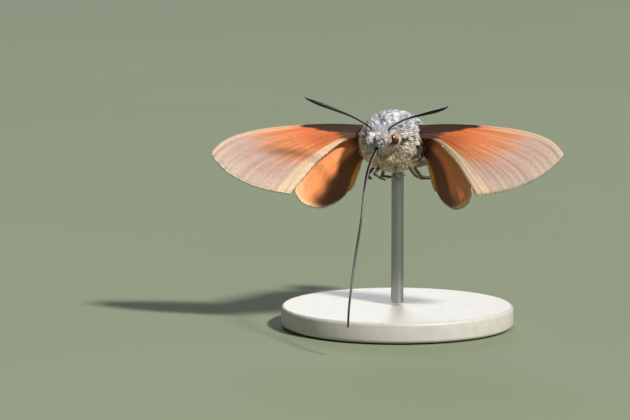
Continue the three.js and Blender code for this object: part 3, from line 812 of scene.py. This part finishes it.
# The coat by region. Angles go up from the moth's left side, and half a turn is pi.
THORAX_RANGE = (-3.1, 4.6)
# The flanks' high tip darkens their tuft roots strongly: painted shade in the gaps between the clumps
FLANK = dict(
    count=9000, y_range=THORAX_RANGE, length=1.6, rise=1.05, width=0.07,
    droop=0.7, wave=0.5, pull=0.8, clump=0.6, curl=0.14, specks=0.1, tip=1.9,
)
COATS = {
    "coat_face": dict(
        count=9000, y_range=(-8.55, -6.6), length=0.75, rise=0.9, width=0.045,
        pull=0.35, clump=0.3, curl=0.06, specks=0.25, tip=1.3, seed=10,
    ),
    "coat_crown": dict(
        count=11000, y_range=(-6.7, -4.3), length=1.0, rise=1.0, width=0.05,
        pull=0.45, clump=0.35, curl=0.1, specks=0.36, tip=1.6, seed=20,
    ),
    "coat_collar": dict(
        count=9000, y_range=(-4.6, -2.9), length=1.35, rise=1.0, width=0.055,
        droop=0.4, pull=0.5, clump=0.45, curl=0.1, specks=0.2, tip=1.4, seed=30,
    ),
    "coat_back": dict(
        count=11000, y_range=THORAX_RANGE, angle_range=(0.22 * math.pi, 0.78 * math.pi),
        length=1.5, rise=1.0, width=0.065, pull=0.4, clump=0.45, curl=0.08, specks=0.18, tip=1.4, seed=40,
    ),
    "coat_flank_left": dict(FLANK, angle_range=(-0.3 * math.pi, 0.24 * math.pi), seed=50),
    "coat_flank_right": dict(FLANK, angle_range=(0.76 * math.pi, 1.3 * math.pi), seed=60),
    "coat_chest": dict(
        count=8000, y_range=THORAX_RANGE, angle_range=(1.28 * math.pi, 1.72 * math.pi),
        length=1.05, rise=0.9, width=0.05, wave=0.12, pull=0.1, clump=0.5, tip=0.5, seed=70,
    ),
    "coat_abdomen": dict(
        count=11000, y_range=(4.3, 16.6), length=0.85, rise=1.0, width=0.075,
        wave=0.08, pull=0.15, clump=0.5, specks=0.06, seed=80,
    ),
}
for name, region in COATS.items():
    body_coat(name, **region)


# Side tufts of the abdomen and the tail fan

SIDE_TUFTS = ((9.0, WHITE), (10.8, BLACK), (12.6, BLACK))  # place along the body, and colour
FAN_ROOT = (15.7, -1.7)
FAN_LENGTH = 5.2
FAN_GREY, FAN_BROWN = srgb(92, 82, 72), srgb(56, 46, 38)


def plume(name, roots, directions, lengths, widths, colours, seed, up=(0, 0, 1)):
    """Long flat locks as one piece, each from its own root along its own direction."""
    lie = unit(directions)
    normal = np.tile(np.array(up, float), (len(roots), 1))
    normal = unit(normal - lie * np.sum(lie * normal, -1, keepdims=True))
    uv = ((roots - roots.min(0)) / np.ptp(roots, axis=0))[:, :2]
    look = dict(pull=0.2, clump=0.6, seed=seed, tip=0.6)
    tufts(name, "coat_dark", roots, normal, lie, lengths, lengths * 0.05, widths, colours, uv, **look)


def build_side_tufts(side, label):
    """Locks that stand out beside three of the abdomen's rings, white at the front one and black behind."""
    random = np.random.default_rng(90 + side)
    count = 320
    roots, directions, colours = [], [], []
    for y, colour in SIDE_TUFTS:
        level = random.uniform(-0.95, 0.8, count)
        back = random.uniform(-0.5, 0.7, count)
        middle, wide, *_ = section(y + back)
        across = np.sqrt(np.maximum(1 - (level / 2.6) ** 2, 0))
        roots.append(np.stack([side * (wide - 0.55) * across, y + back, middle + level], -1))
        flare = np.radians(random.normal(22, 7, count))
        rise = -0.1 + 0.12 * level + random.normal(0, 0.06, count)
        directions.append(np.stack([side * np.sin(flare), np.cos(flare), rise], -1))
        pale = random.random(count) < (0.15 if colour is BLACK else 0.8)
        colours.append(np.where(pale[:, None], WHITE * 0.85, BLACK * 1.3))
    roots, directions, colours = np.concatenate(roots), np.concatenate(directions), np.concatenate(colours)
    lengths = random.uniform(1.5, 2.5, len(roots))
    widths = random.uniform(0.06, 0.1, len(roots))
    plume(f"side_tufts_{label}", roots, directions, lengths, widths, colours, 91, (side, 0, 0.2))


def build_tail_fan():
    """Long dark scales that spread from the end of the abdomen."""
    random = np.random.default_rng(95)
    count = 1500
    angle = np.radians(random.uniform(-50, 50, count))
    level = random.uniform(-1, 1, count)
    back = random.uniform(0, 1.3, count)
    roots = np.stack([np.sin(angle) * 1.15, FAN_ROOT[0] + back, FAN_ROOT[1] + 0.42 * level], -1)
    rise = 0.16 * level + random.normal(0, 0.03, count)
    directions = np.stack([np.sin(angle) * 0.85, np.cos(angle), rise], -1)
    lengths = (FAN_LENGTH - back * 0.6) * random.uniform(0.85, 1.04, count)
    lengths *= 1 - 0.12 * np.abs(np.sin(angle))
    widths = random.uniform(0.06, 0.12, count)
    grey = (random.random(count) < 0.18)[:, None]
    colours = np.where(grey, FAN_GREY, blend(BLACK, FAN_BROWN, random.random(count)))
    plume("tail_fan_scales", roots, directions, lengths, widths, colours, 96)


for side, label in SIDES:
    build_side_tufts(side, label)
build_tail_fan()


# Head: eyes, palps, proboscis and antennae

EYE_SHAPE = (0.97, 1, 1)  # a little flatter across than round
FACE_TUFT_WIDTH = 0.035
BROW_PINK = srgb(204, 176, 162)
HALF_TUBE_OUT, HALF_TUBE_BREADTH = 0.055, 0.75
ANTENNA_JOINTS = 46
HORN_BLACK, HORN_BROWN = srgb(14, 11, 11), srgb(34, 24, 20)
HORN_GLINT_GREY, HORN_HIGHLIGHT = srgb(150, 140, 128), srgb(176, 168, 160)


def eye_colour(side, outward):
    """Tan above, maroon in the middle and black in front and below, with one dark spot."""
    x, y, z = outward[..., 0], outward[..., 1], outward[..., 2]
    across = side * x * 0.96 + y * 0.27
    spot = unit(np.array([side * 0.5, -0.62, 0.6]))
    from_spot = np.arccos(np.clip(outward @ spot, -1, 1))
    return layered(
        EYE_MAROON,
        (EYE_TAN, step(0.3, 0.9, 0.85 * z + 0.6 * across)),
        (EYE_BLACK, step(0.42, 0.06, 0.5 * z + 0.9 * across)),
        (EYE_BLACK, 0.85 * step(0.2, 0.1, from_spot)),
    )


def build_eye(side, label):
    rows, columns = 40, 64
    polar = np.linspace(0.001, math.pi - 0.001, rows)
    turn = np.linspace(0, TURN, columns, endpoint=False)
    p, t = np.meshgrid(polar, turn, indexing="ij")
    outward = np.stack([side * np.cos(p), np.sin(p) * np.cos(t), np.sin(p) * np.sin(t)], -1)
    rings = on_head(EYE, side) + outward * EYE_RADIUS * EYE_SHAPE
    eye = closed_rings(f"facets_{label}", rings, eye_colour(side, outward), inside_out=side < 0)
    dress(eye, EYES)
    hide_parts(f"eye_{label}")


def build_brow(side, label):
    """Scales that lean over the front, inner and upper rim of an eye."""
    random = np.random.default_rng(105)
    count = 600
    turn = np.radians(random.uniform(-30, 150, count))
    polar = np.radians(mix(112, 84, step(0.3, 1.4, turn)) + random.uniform(-12, 10, count))
    rim = np.sin(polar)
    outward = np.stack([side * np.cos(polar), -rim * np.cos(turn), rim * np.sin(turn)], -1)
    root = on_head(EYE, side) + outward * EYE_RADIUS * 0.98
    to_pole = unit(np.array([side, 0.0, 0.0]) - outward * (side * outward[:, :1]))
    lie = unit(to_pole + (0, 0.3, 0.1) + random.normal(0, 0.25, (count, 3)))
    lengths = random.uniform(0.25, 0.6, count)
    colour = blend(WHITE, BROW_PINK, random.random(count))
    uv = np.stack([turn / TURN + 0.5, polar / math.pi], -1)
    look = dict(pull=0.5, clump=0.3, curl=0.06, seed=106, tip=1.4, specks=0.22, rings=SHORT_TUFT)
    name, height = f"brow_{label}", lengths * 0.35
    tufts(name, "coat_grey", root, outward, lie, lengths, height, FACE_TUFT_WIDTH, colour, uv, **look)


def build_palp(side, label):
    """A furry feeler that curves up in front of the face."""
    path = on_head(PALP, side)
    points, quads, caps, *_ = tube(path, PALP_RADII, 24, 20, (1, 0, 0))
    pale = np.tile(WHITE * 0.8, (len(points), 1))
    core = dress(mesh_object(f"palp_core_{label}", points, quads, caps, pale), SKIN)
    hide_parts(f"palp_{label}")
    build_palp_coat(f"palp_coat_{label}", path, side)


def build_palp_coat(name, path, side):
    random = np.random.default_rng(110 + side)
    count = 2600
    along = random.uniform(0, 1, count) ** 0.9
    turn = random.uniform(0, TURN, count)
    ahead = unit(even_rows(path, np.minimum(along + 0.03, 1)) - even_rows(path, np.maximum(along - 0.03, 0)))
    wide = unit(np.cross((1, 0, 0), ahead))
    out = wide * np.cos(turn)[:, None] + np.cross(ahead, wide) * np.sin(turn)[:, None]
    root = even_rows(path, along) + out * smooth_rows(PALP_RADII, along) * 0.95
    lie = unit(ahead + random.normal(0, 0.18, (count, 3)) + out * 0.1)
    lengths = random.uniform(0.45, 0.85, count) * (1.05 - 0.45 * along)
    height = lengths * random.uniform(0.2, 0.45, count)
    colour = blend(WHITE, GREY_MID, 0.8 * step(0.1, 0.7, ripple(root, 0.35, 4)))
    colour = blend(colour, BROWN_GAP, 0.6 * step(0.4, 1.0, out[:, 0] * side))
    uv = np.stack([turn / TURN, along], -1)
    look = dict(pull=0.55, clump=0.25, curl=0.08, seed=111, tip=1.5, specks=0.15, rings=SHORT_TUFT)
    tufts(name, "coat_pale", root, out, lie, lengths, height, FACE_TUFT_WIDTH, colour, uv, **look)


def half_tube(side):
    """Half of the proboscis, finely ringed, black to dark brown, with a painted highlight down its outer
    front.
    """
    steps, sides = 260, 12
    path = np.array(PROBOSCIS) + (side * HALF_TUBE_OUT, 0, 0)

    def ringed(shares):
        return 1 + 0.03 * np.sin(shares * 900)

    points, quads, caps, share, angle = tube(path, PROBOSCIS_RADII, steps, sides, (1, 0, 0), ringed)
    middle = np.repeat([ring.mean(0)[0] for ring in points[:-2].reshape(steps, sides, 3)], sides)
    middle = np.append(middle, points[-2:, 0])
    points[:, 0] = middle + (points[:, 0] - middle) * HALF_TUBE_BREADTH
    outer = 0.87 * side * np.sin(angle) - 0.5 * np.cos(angle)
    # Painted highlight down each half's outer front, fainter lower down
    painted_highlight = step(0.88, 0.98, outer) * step(0.03, 0.08, share) * mix(0.9, 0.45, step(0.35, 0.6, share))
    colour = layered(HORN_BLACK, (HORN_BROWN, step(0.0, 1.0, share)), (HORN_HIGHLIGHT, painted_highlight))
    return points, quads, caps, colour


def build_proboscis():
    """Two half tubes side by side, so that a groove runs down its front and back."""
    trunk = mesh_object("proboscis_tubes", *joined([half_tube(1), half_tube(-1)]))
    dress(trunk, HORN)
    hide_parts("proboscis_base", "proboscis_shaft")


def build_antenna(side, label):
    """A ringed feeler that thickens to a club, with a painted highlight along its top."""
    carried = np.array(ANTENNA) * (side, 1, 1)
    carried[:, 2] -= side * ANTENNA_RISE * (np.abs(carried[:, 0]) - ANTENNA_RISES_FROM)
    path = np.concatenate([on_head(ANTENNA_ROOT, side), carried])

    def ringed(shares):
        return 0.96 + 0.07 * np.abs(np.sin(math.pi * ANTENNA_JOINTS * shares))

    points, quads, caps, share, angle = tube(path, ANTENNA_RADII, 280, 16, (0, 0, 1), ringed)
    # Painted highlight along the top of the feeler
    top = step(0.35, 0.8, np.sin(angle) * side) * step(0.05, 0.15, share) * step(0.98, 0.85, share)
    colour = blend(HORN_BLACK, HORN_GLINT_GREY, 0.4 * top)
    feeler = dress(mesh_object(f"antenna_rings_{label}", points, quads, caps, colour), HORN)
    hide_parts(f"antenna_{label}")


for side, label in SIDES:
    build_eye(side, label)
    build_brow(side, label)
    build_palp(side, label)
    build_antenna(side, label)
build_proboscis()


# Legs

LEG_DARK, LEG_PALE = srgb(48, 36, 24), srgb(102, 84, 58)
LEG_BROWN = blend(LEG_DARK, LEG_PALE, 0.6)
SHIN_PROFILE = [0.8, 1.15, 1.05, 0.8]
FOOT_PROFILE = [0.8, 0.95, 1.1, 0.9]
SPUR_PROFILE = [1, 1, 0.8, 0.2]
CLAW_PROFILE = [1, 0.8, 0.2]
FOOT_JOINTS = 5
LEG_SCALES = (280, 280, 110)  # on the thigh, shin and foot
LEG_SCALE_WIDTH = 0.03


def limb(start, end, radius, profile, colour, sides=10, steps=14):
    """A rod between two points, whose thickness along it is a profile of shares of a radius."""
    across = (1, 0, 0) if abs(unit(np.array(end) - start)[2]) > 0.9 else (0, 0, 1)
    path = np.array([start, mix(np.array(start), np.array(end), 0.5), end])
    points, quads, caps, *_ = tube(path, np.array(profile) * radius, steps, sides, across)
    return points, quads, caps, np.tile(colour, (len(points), 1))


def leg_core(pair, joints, radii, side):
    """Thigh, shin and a foot of five joints, with two claws, and two spurs on a hind shin."""
    parts = []
    for k, radius in enumerate(radii):
        in_foot = k == 2
        profile, colour = (FOOT_PROFILE, LEG_DARK) if in_foot else (SHIN_PROFILE, LEG_BROWN)
        count = FOOT_JOINTS if in_foot else 1
        for j in range(count):
            low, high = j / count, (j + 1) / count
            size = radius * (1.25 - 0.5 * low if in_foot else 1)
            ends = mix(joints[k], joints[k + 1], low), mix(joints[k], joints[k + 1], high)
            parts.append(limb(*ends, size, profile, colour))
    if pair == "hind":
        for share in (0.55, 0.92):
            start = mix(joints[1], joints[2], share)
            parts.append(limb(start, start + (side * 0.45, 1.1, -0.35), 0.09, SPUR_PROFILE, LEG_PALE))
    toe = joints[3]
    way = unit(toe - joints[2])
    for turn in (-1, 1):
        claw = toe + way * 0.22 + np.array([0.12 * turn, 0, -0.12])
        parts.append(limb(toe - way * 0.05, claw, 0.035, CLAW_PROFILE, BLACK, steps=5))
    return parts


def build_leg_scales(name, joints, radii, side):
    random = np.random.default_rng(130 + side)
    roots, ways, outs, tones = [], [], [], []
    for k, (radius, count, paleness) in enumerate(zip(radii, LEG_SCALES, (0.8, 0.8, 0.3))):
        way = unit(joints[k + 1] - joints[k])
        along = random.uniform(0, 1, count)
        turn = random.uniform(0, TURN, count)
        across = unit(np.cross(way, (0.3, 0.2, 1)))
        out = across * np.cos(turn)[:, None] + np.cross(way, across) * np.sin(turn)[:, None]
        roots.append(mix(joints[k], joints[k + 1], along[:, None]) + out * radius * 0.9)
        ways.append(unit(way + random.normal(0, 0.15, (count, 3))))
        outs.append(out)
        tones.append(np.tile(blend(LEG_DARK, LEG_PALE, paleness), (count, 1)))
    roots, ways, outs, tones = (np.concatenate(rows) for rows in (roots, ways, outs, tones))
    lengths = random.uniform(0.18, 0.32, len(roots))
    uv = np.stack([random.random(len(roots)), np.linspace(0, 1, len(roots))], -1)
    look = dict(seed=131, rings=SHORT_TUFT)
    tufts(name, "leg", roots, outs, ways, lengths, lengths * 0.12, LEG_SCALE_WIDTH, tones, uv, **look)


def build_leg(pair, side, label):
    joints, radii = LEGS[pair]
    joints = [np.array(joint) * (side, 1, 1) for joint in joints]
    leg = mesh_object(f"limb_{pair}_{label}", *joined(leg_core(pair, joints, radii, side)))
    dress(leg, LEG)
    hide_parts(f"leg_{pair}_{label}")
    build_leg_scales(f"limb_scales_{pair}_{label}", joints, radii, side)


for pair in LEGS:
    for side, label in SIDES:
        build_leg(pair, side, label)


# Wings

WING_END = 0.985  # share of the span where the membrane ends in the fringe
FRINGE_OUT = 0.975  # share of the span where the outer edge's fringe has its roots
FRINGE_WIDTH = 0.035
FRINGE_TURN = 0.62  # share of the fringe that is along the outer edge
FRINGE_PALE = srgb(232, 214, 178)


def patch_of(wing, s, t):
    """The place between the wing's four edges, by the share of the span and the share of the chord."""
    leading, outer, trailing = wing["leading"], wing["outer"], wing["trailing"]
    root_front, root_back = np.array(leading[0]), np.array(trailing[0])
    tip_front, tip_back = np.array(leading[-1]), np.array(trailing[-1])
    s1, t1 = s[..., None], t[..., None]
    between_edges = mix(even_rows(leading, s), even_rows(trailing, s), t1)
    between_ends = mix(mix(root_front, root_back, t1), even_rows(outer, t), s1)
    corners = mix(mix(root_front, tip_front, s1), mix(root_back, tip_back, s1), t1)
    return between_edges + between_ends - corners


def wing_point(wing, side, s, t):
    """A point on the wing's middle surface, by the same two shares."""
    flat = patch_of(wing, s, t)
    u, v = flat[..., 0], flat[..., 1]
    tilt = mix(wing["tilt"][0], wing["tilt"][1], s)
    swell = wing["camber"] * np.sin(np.pi * t) * np.sin(np.pi * np.minimum(1, s * 1.15))
    behind = wing["tuck"] * step(0.42, 0.0, t) * step(0.0, 0.45, s) * step(1.02, 0.85, s)
    x, y, z = wing["root"]
    return np.stack([side * (x + u), y - u * wing["sweep"] - v * tilt - swell + behind, z - v], -1)


def vein_height(wing, s, t):
    """1 on the crest of a vein and 0 beside it."""
    height = np.zeros_like(s)
    for at_root, at_edge, start in wing["veins"]:
        place = mix(at_root, at_edge, step(0, 0.9, s))
        foot = mix(0.02, 0.009, s)
        crest = np.exp(-(((t - place) / foot) ** 2)) * step(start - 0.02, start + 0.02, s)
        height = np.maximum(height, crest)
    cell_end, first, last = wing["cell"]
    low = mix(wing["veins"][first][0], wing["veins"][first][1], step(0, 0.9, cell_end))
    high = mix(wing["veins"][last][0], wing["veins"][last][1], step(0, 0.9, cell_end))
    bar = np.exp(-(((s - cell_end) / 0.008) ** 2)) * ((t > low) & (t < high))
    return np.maximum(height, bar)


def forewing_below(s, t, rays):
    """Underside of the forewing: dark wedge, orange middle, a lilac end that is partly painted sheen, pale
    inner band, and a brown base that is partly its own darker base and partly painted shadow of the body.
    """
    rust, orange, light = srgb(186, 92, 48), srgb(236, 128, 70), srgb(236, 158, 112)
    lilac, tip, pale = srgb(214, 178, 166), srgb(214, 198, 178), srgb(240, 210, 178)
    base, dark = srgb(96, 62, 38), srgb(58, 34, 22)
    return layered(
        orange,
        (rust, 0.75 * np.exp(-(((s - 0.3) / 0.14) ** 2) - ((t - 0.55) / 0.3) ** 2)),
        (rust, 0.3 * step(0.2, 0.9, rays)),
        (light, 0.8 * step(0.36, 0.62, s + 0.05 * rays)),
        # Lilac and pale outer end: partly painted sheen of the scales on the outer wing
        (lilac, step(0.58, 0.8, s + 0.04 * (t - 0.4) + 0.05 * rays)),
        (tip, 0.7 * step(0.82, 1.0, s)),
        (pale, 0.6 * step(0.08, 0.02, t) * step(0.35, 0.55, s)),
        (pale, 0.9 * step(0.83, 0.93, t + 0.07 * s) * step(0.08, 0.2, s)),
        # Brown base: partly the wing's own darker base, partly painted shadow of the body across the wing
        # root
        (base, step(0.26, 0.18, s + 0.02 * rays)),
        (dark, step(0.04, -0.04, t - 1.9 * (0.41 - s) - 0.03 * rays) * step(0.0, 0.16, s + 0.4 * t)),
    )


def forewing_above(s, t, broad):
    """Upper side of the forewing: grey-brown, with dark cross lines, a dark spot and a dark edge."""
    ash, umber, dark = srgb(142, 132, 124), srgb(98, 84, 74), srgb(52, 42, 36)
    wave = 0.02 * np.sin(t * 21) + 0.012 * np.sin(t * 47 + 1)
    cross_lines = []
    for place, width in ((0.2, 0.035), (0.58, 0.022), (0.64, 0.016)):
        away = (s + wave - place - 0.1 * (0.5 - t) ** 2) / width
        cross_lines.append((dark, 0.85 * np.exp(-(away**2))))
    spot = np.hypot((s - 0.46) * 9, (t - 0.36) * 3.2)
    return layered(
        umber,
        (ash, 0.25 + 0.6 * step(-0.6, 0.8, broad)),
        *cross_lines,
        (BLACK, 0.9 * step(0.24, 0.12, spot)),
        (dark, 0.6 * step(0.9, 0.99, s)),
        (umber, 0.5 * step(0.35, 0.05, s)),
    )


def forewing_colour(s, t, flat, under):
    rays = ripple(np.stack([s * 2.5, t * 16], -1), 1.6, 22)
    colour = forewing_below(s, t, rays) if under else forewing_above(s, t, ripple(flat * (0.35, 1), 1.6, 22))
    return colour * (1 + 0.05 * ripple(flat, 0.8, 21) + 0.05 * rays)[..., None]


def hindwing_below(s, t, rays):
    """Underside of the hindwing: orange with a yellow inner edge; its brown root is partly its own darker
    base and partly painted shade, and its brown inner half is painted shadow of the body.
    """
    orange, deep, brown = srgb(246, 152, 88), srgb(226, 122, 58), srgb(92, 52, 32)
    border, pale, yellow = srgb(104, 58, 50), srgb(238, 206, 168), srgb(246, 170, 44)
    return layered(
        orange,
        (deep, 0.6 * step(-0.2, 0.9, rays)),
        (pale, 0.4 * step(0.3, 0.05, t) * step(0.6, 0.9, s)),
        # Brown inner half: painted shadow of the body; brown root: partly the wing's own darker base, partly
        # painted shade
        (brown, 0.85 * step(0.44, 0.58, t)),
        (brown, 0.85 * step(0.26, 0.12, s)),
        (border, 0.7 * step(0.76, 0.93, s) * step(0.25, 0.5, t)),
        (yellow, step(0.86, 0.96, t) * step(0.15, 0.3, s) * step(0.95, 0.85, s)),
        (pale, 0.85 * step(0.94, 0.99, s) * step(0.6, 0.4, t)),
    )


def hindwing_above(s, t, rays):
    """Upper side of the hindwing: orange, with a brown root and outer edge and a yellow inner edge."""
    orange, deep, yellow = srgb(240, 150, 74), srgb(222, 120, 52), srgb(222, 150, 40)
    root_brown, edge_brown = srgb(84, 48, 30), srgb(70, 46, 34)
    return layered(
        orange,
        (deep, 0.6 * step(-0.4, 0.8, rays)),
        (root_brown, 0.9 * step(0.3, 0.08, s)),
        (edge_brown, 0.9 * step(0.8, 0.93, s + 0.05 * np.sin(t * 9))),
        (yellow, 0.5 * step(0.92, 0.985, t)),
    )


def hindwing_colour(s, t, flat, under):
    rays = ripple(np.stack([s * 2, t * 14], -1), 1.6, 32)
    colour = hindwing_below(s, t, rays) if under else hindwing_above(s, t, rays)
    return colour * (1 + 0.05 * ripple(flat, 0.7, 31) + 0.04 * rays)[..., None]


def half_thickness(s, t, rise):
    """Half the wing's thickness: a thin membrane, raised on its veins and thick along its leading edge."""
    edge = np.minimum(np.minimum(t, 1 - t) / 0.02, (WING_END - s) / 0.02)
    half = MEMBRANE_HALF * np.clip(0.3 + 0.7 * edge, 0.3, 1) + VEIN_RISE * rise * step(0.0, 1.0, edge)
    costa = np.exp(-((t / 0.022) ** 2)) * (1 - 0.6 * s) * LEADING_EDGE_HALF
    return half + costa * step(0, 0.4, t / 0.02 + 0.4)


def wing_faces(rows, columns, side):
    """Faces of two grids, front and back, and of the wall round them."""
    rim = np.concatenate(
        [
            np.arange(columns),
            np.arange(1, rows) * columns + columns - 1,
            (rows - 1) * columns + np.arange(columns - 2, -1, -1),
            np.arange(rows - 2, 0, -1) * columns,
        ]
    )
    after = np.roll(rim, -1)
    size = rows * columns
    wall = np.stack([rim, after, after + size, rim + size], 1)
    faces = np.concatenate(
        [grid_quads(rows, columns), grid_quads(rows, columns, first=size)[:, ::-1], wall[:, ::-1]]
    )
    return faces if side > 0 else faces[:, ::-1]


def build_wing(kind, wing, side, label, paint):
    """A thin membrane with raised veins, on the same middle surface as the solid."""
    rows, columns = 90, 80
    s, t = np.meshgrid(np.linspace(0, WING_END, rows), np.linspace(0, 1, columns), indexing="ij")
    middle = wing_point(wing, side, s, t)
    forward = unit(np.cross(np.gradient(middle, axis=0), np.gradient(middle, axis=1)))
    if forward[..., 1].mean() > 0:
        forward = -forward
    rise = vein_height(wing, s, t)
    thick = forward * half_thickness(s, t, rise)[..., None]
    flat = patch_of(wing, s, t)
    veins = (0.9 + 0.1 * (1 - rise))[..., None]

    def both(front, back):
        return np.concatenate([front.reshape(-1, front.shape[-1]), back.reshape(-1, back.shape[-1])])

    points = both(middle + thick, middle - thick)
    tint = both(paint(s, t, flat, True) * veins, paint(s, t, flat, False) * veins)
    uv = both(np.stack([s * 0.49, t], -1), np.stack([0.51 + s * 0.49, t], -1))
    faces = wing_faces(rows, columns, side)
    membrane = dress(mesh_object(f"{kind}_membrane_{label}", points, faces, (), tint, uv), WING)
    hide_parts(f"{kind}_{label}")
    build_fringe(kind, wing, side, label, paint)


def build_fringe(kind, wing, side, label, paint):
    """Hair scales along the outer and trailing edges."""
    random = np.random.default_rng(150)
    count = 1600
    run = np.linspace(0, 1, count)
    on_outer = run < FRINGE_TURN
    s = np.where(on_outer, FRINGE_OUT, mix(FRINGE_OUT, 0.2, (run - FRINGE_TURN) / (1 - FRINGE_TURN)))
    t = np.where(on_outer, run / FRINGE_TURN, 0.985)
    root = wing_point(wing, side, s, t)
    out_s = wing_point(wing, side, np.minimum(s + 0.015, 1), t) - wing_point(wing, side, s - 0.02, t)
    out_t = wing_point(wing, side, s, np.minimum(t + 0.01, 1)) - wing_point(wing, side, s, t - 0.03)
    way = np.where(on_outer[:, None], unit(out_s), unit(out_t) * 0.8 + unit(out_s) * 0.6)
    way = unit(way + random.normal(0, 0.12, (count, 3)))
    normal = unit(np.cross(out_s, out_t))
    colour = blend(paint(s * 0.98, t, patch_of(wing, s, t), True), FRINGE_PALE, 0.65)
    lengths = FRINGE * random.uniform(0.55, 1.0, count) * mix(0.3, 1, step(0.2, 0.4, s))
    uv = np.stack([run, np.full(count, 0.5)], -1)
    look = dict(pull=0.2, clump=0.25, seed=151, tip=0.2, rings=SHORT_TUFT)
    name, height = f"{kind}_fringe_{label}", lengths * 0.05
    tufts(name, kind, root, normal, way, lengths, height, FRINGE_WIDTH, colour, uv, **look)


for side, label in SIDES:
    build_wing("forewing", FOREWING, side, label, forewing_colour)
    build_wing("hindwing", HINDWING, side, label, hindwing_colour)

# Stand

BASE_EDGE, ROD_EDGE = 0.45, 0.1  # how far their edges are rounded


def build_stand_piece(node, sides, edge, finish):
    """A round piece with rounded edges in place of its solid, which gives its radius and its two ends."""
    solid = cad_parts[node]
    corners = np.array([solid.matrix_world @ Vector(corner) for corner in solid.bound_box])
    low, high = corners.min(0), corners.max(0)
    middle = (low + high) / 2
    radius = high[0] - middle[0]
    rise = np.linspace(0, math.pi / 2, 8)
    out = radius - edge + edge * np.cos(rise)
    up = edge * np.sin(rise) - edge
    profile = [*zip(out[::-1], low[2] - up[::-1]), *zip(out, high[2] + up)]
    turn = np.linspace(0, TURN, sides, endpoint=False)
    points = [(middle[0] + r * math.cos(a), middle[1] + r * math.sin(a), z) for r, z in profile for a in turn]
    walls = grid_quads(len(profile), sides, closed=True).tolist()
    ends = [list(range(sides))[::-1], list(range(len(points) - sides, len(points)))]
    mesh = bpy.data.meshes.new(f"{node}_turned")
    mesh.from_pydata(points, [], walls + ends)
    mesh.polygons.foreach_set("use_smooth", [True] * len(walls) + [False] * len(ends))
    piece = dress(in_scene(f"{node}_turned", mesh), finish)
    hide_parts(node)


build_stand_piece("stand_base", 160, BASE_EDGE * MM, BASE_FINISH)
build_stand_piece("stand_rod", 48, ROD_EDGE * MM, ROD_FINISH)


# Studio: green-grey floor, a hard key light from high on the right as the photo's sun, a light from behind
# and weak light from all round

FLOOR_HALF = 4.0
FLOOR_DROP = 0.0002  # below the stand
FLOOR_GREEN = srgb(128, 138, 112)
SKY_COLOUR, SKY_STRENGTH = (0.86, 0.88, 0.9, 1), 0.2
LAMPS = {
    "key": dict(direction=(0.64, -0.37, 0.68), distance=3.0, size=0.3, power=125, colour=(1.0, 0.97, 0.93)),
    "back": dict(direction=(-0.35, 0.9, 0.45), distance=3.0, size=1.2, power=22, colour=(0.92, 0.96, 1.0)),
}


def build_floor():
    half = FLOOR_HALF
    corners = [(-half, -half, 0), (half, -half, 0), (half, half, 0), (-half, half, 0)]
    mesh = bpy.data.meshes.new("floor")
    mesh.from_pydata(corners, [], [(0, 1, 2, 3)])
    mesh.materials.append(plain_material("floor_paper", FLOOR_GREEN, 0.9, 3, 0.0))
    floor = in_scene("floor", mesh)
    floor.location.z = -FLOOR_DROP


def aimed(thing, place, aim):
    """Puts a lamp or the camera at a place, facing another."""
    thing.location = place
    thing.rotation_euler = (aim - thing.location).to_track_quat("-Z", "Y").to_euler()


def build_lamp(name, direction, distance, size, power, colour):
    """A square lamp that shines on the moth from a direction."""
    light = bpy.data.lights.new(name, "AREA")
    light.size = size
    light.energy = power
    light.color = colour
    aim = Vector((0, 0, BODY_HEIGHT * MM))
    aimed(in_scene(name, light), aim + Vector(direction).normalized() * distance, aim)


def build_world():
    world = bpy.data.worlds.new("studio")
    bpy.context.scene.world = world
    world.use_nodes = True
    background = world.node_tree.nodes["Background"]
    background.inputs["Color"].default_value = SKY_COLOUR
    background.inputs["Strength"].default_value = SKY_STRENGTH


def build_camera():
    """A camera that sees the thorax at its place and size in the photo."""
    azimuth = math.radians(CAMERA_AZIMUTH_DEG)
    elevation = math.radians(CAMERA_ELEVATION_DEG)
    level = math.cos(elevation)
    back = Vector((math.sin(azimuth) * level, -math.cos(azimuth) * level, math.sin(elevation)))
    right = Vector((math.cos(azimuth), math.sin(azimuth), 0))
    up = back.cross(right)
    focal_pixels = LENS_MM / SENSOR_MM * PHOTO_MIDDLE[0] * 2
    thorax = Vector((0, -BODY_AHEAD * MM, BODY_HEIGHT * MM))
    across = (PHOTO_MIDDLE[0] - PHOTO_THORAX[0]) / PIXELS_PER_MM * MM
    down = (PHOTO_MIDDLE[1] - PHOTO_THORAX[1]) / PIXELS_PER_MM * MM
    aim = thorax + right * across - up * down
    data = bpy.data.cameras.new("camera")
    data.lens = LENS_MM
    data.sensor_width = SENSOR_MM
    data.clip_start = 0.01
    camera = in_scene("camera", data)
    aimed(camera, thorax + back * (focal_pixels / PIXELS_PER_MM * MM), aim)
    bpy.context.scene.camera = camera


build_floor()
build_world()
for name, lamp in LAMPS.items():
    build_lamp(name, **lamp)
build_camera()
bpy.context.scene.view_settings.view_transform = "Standard"
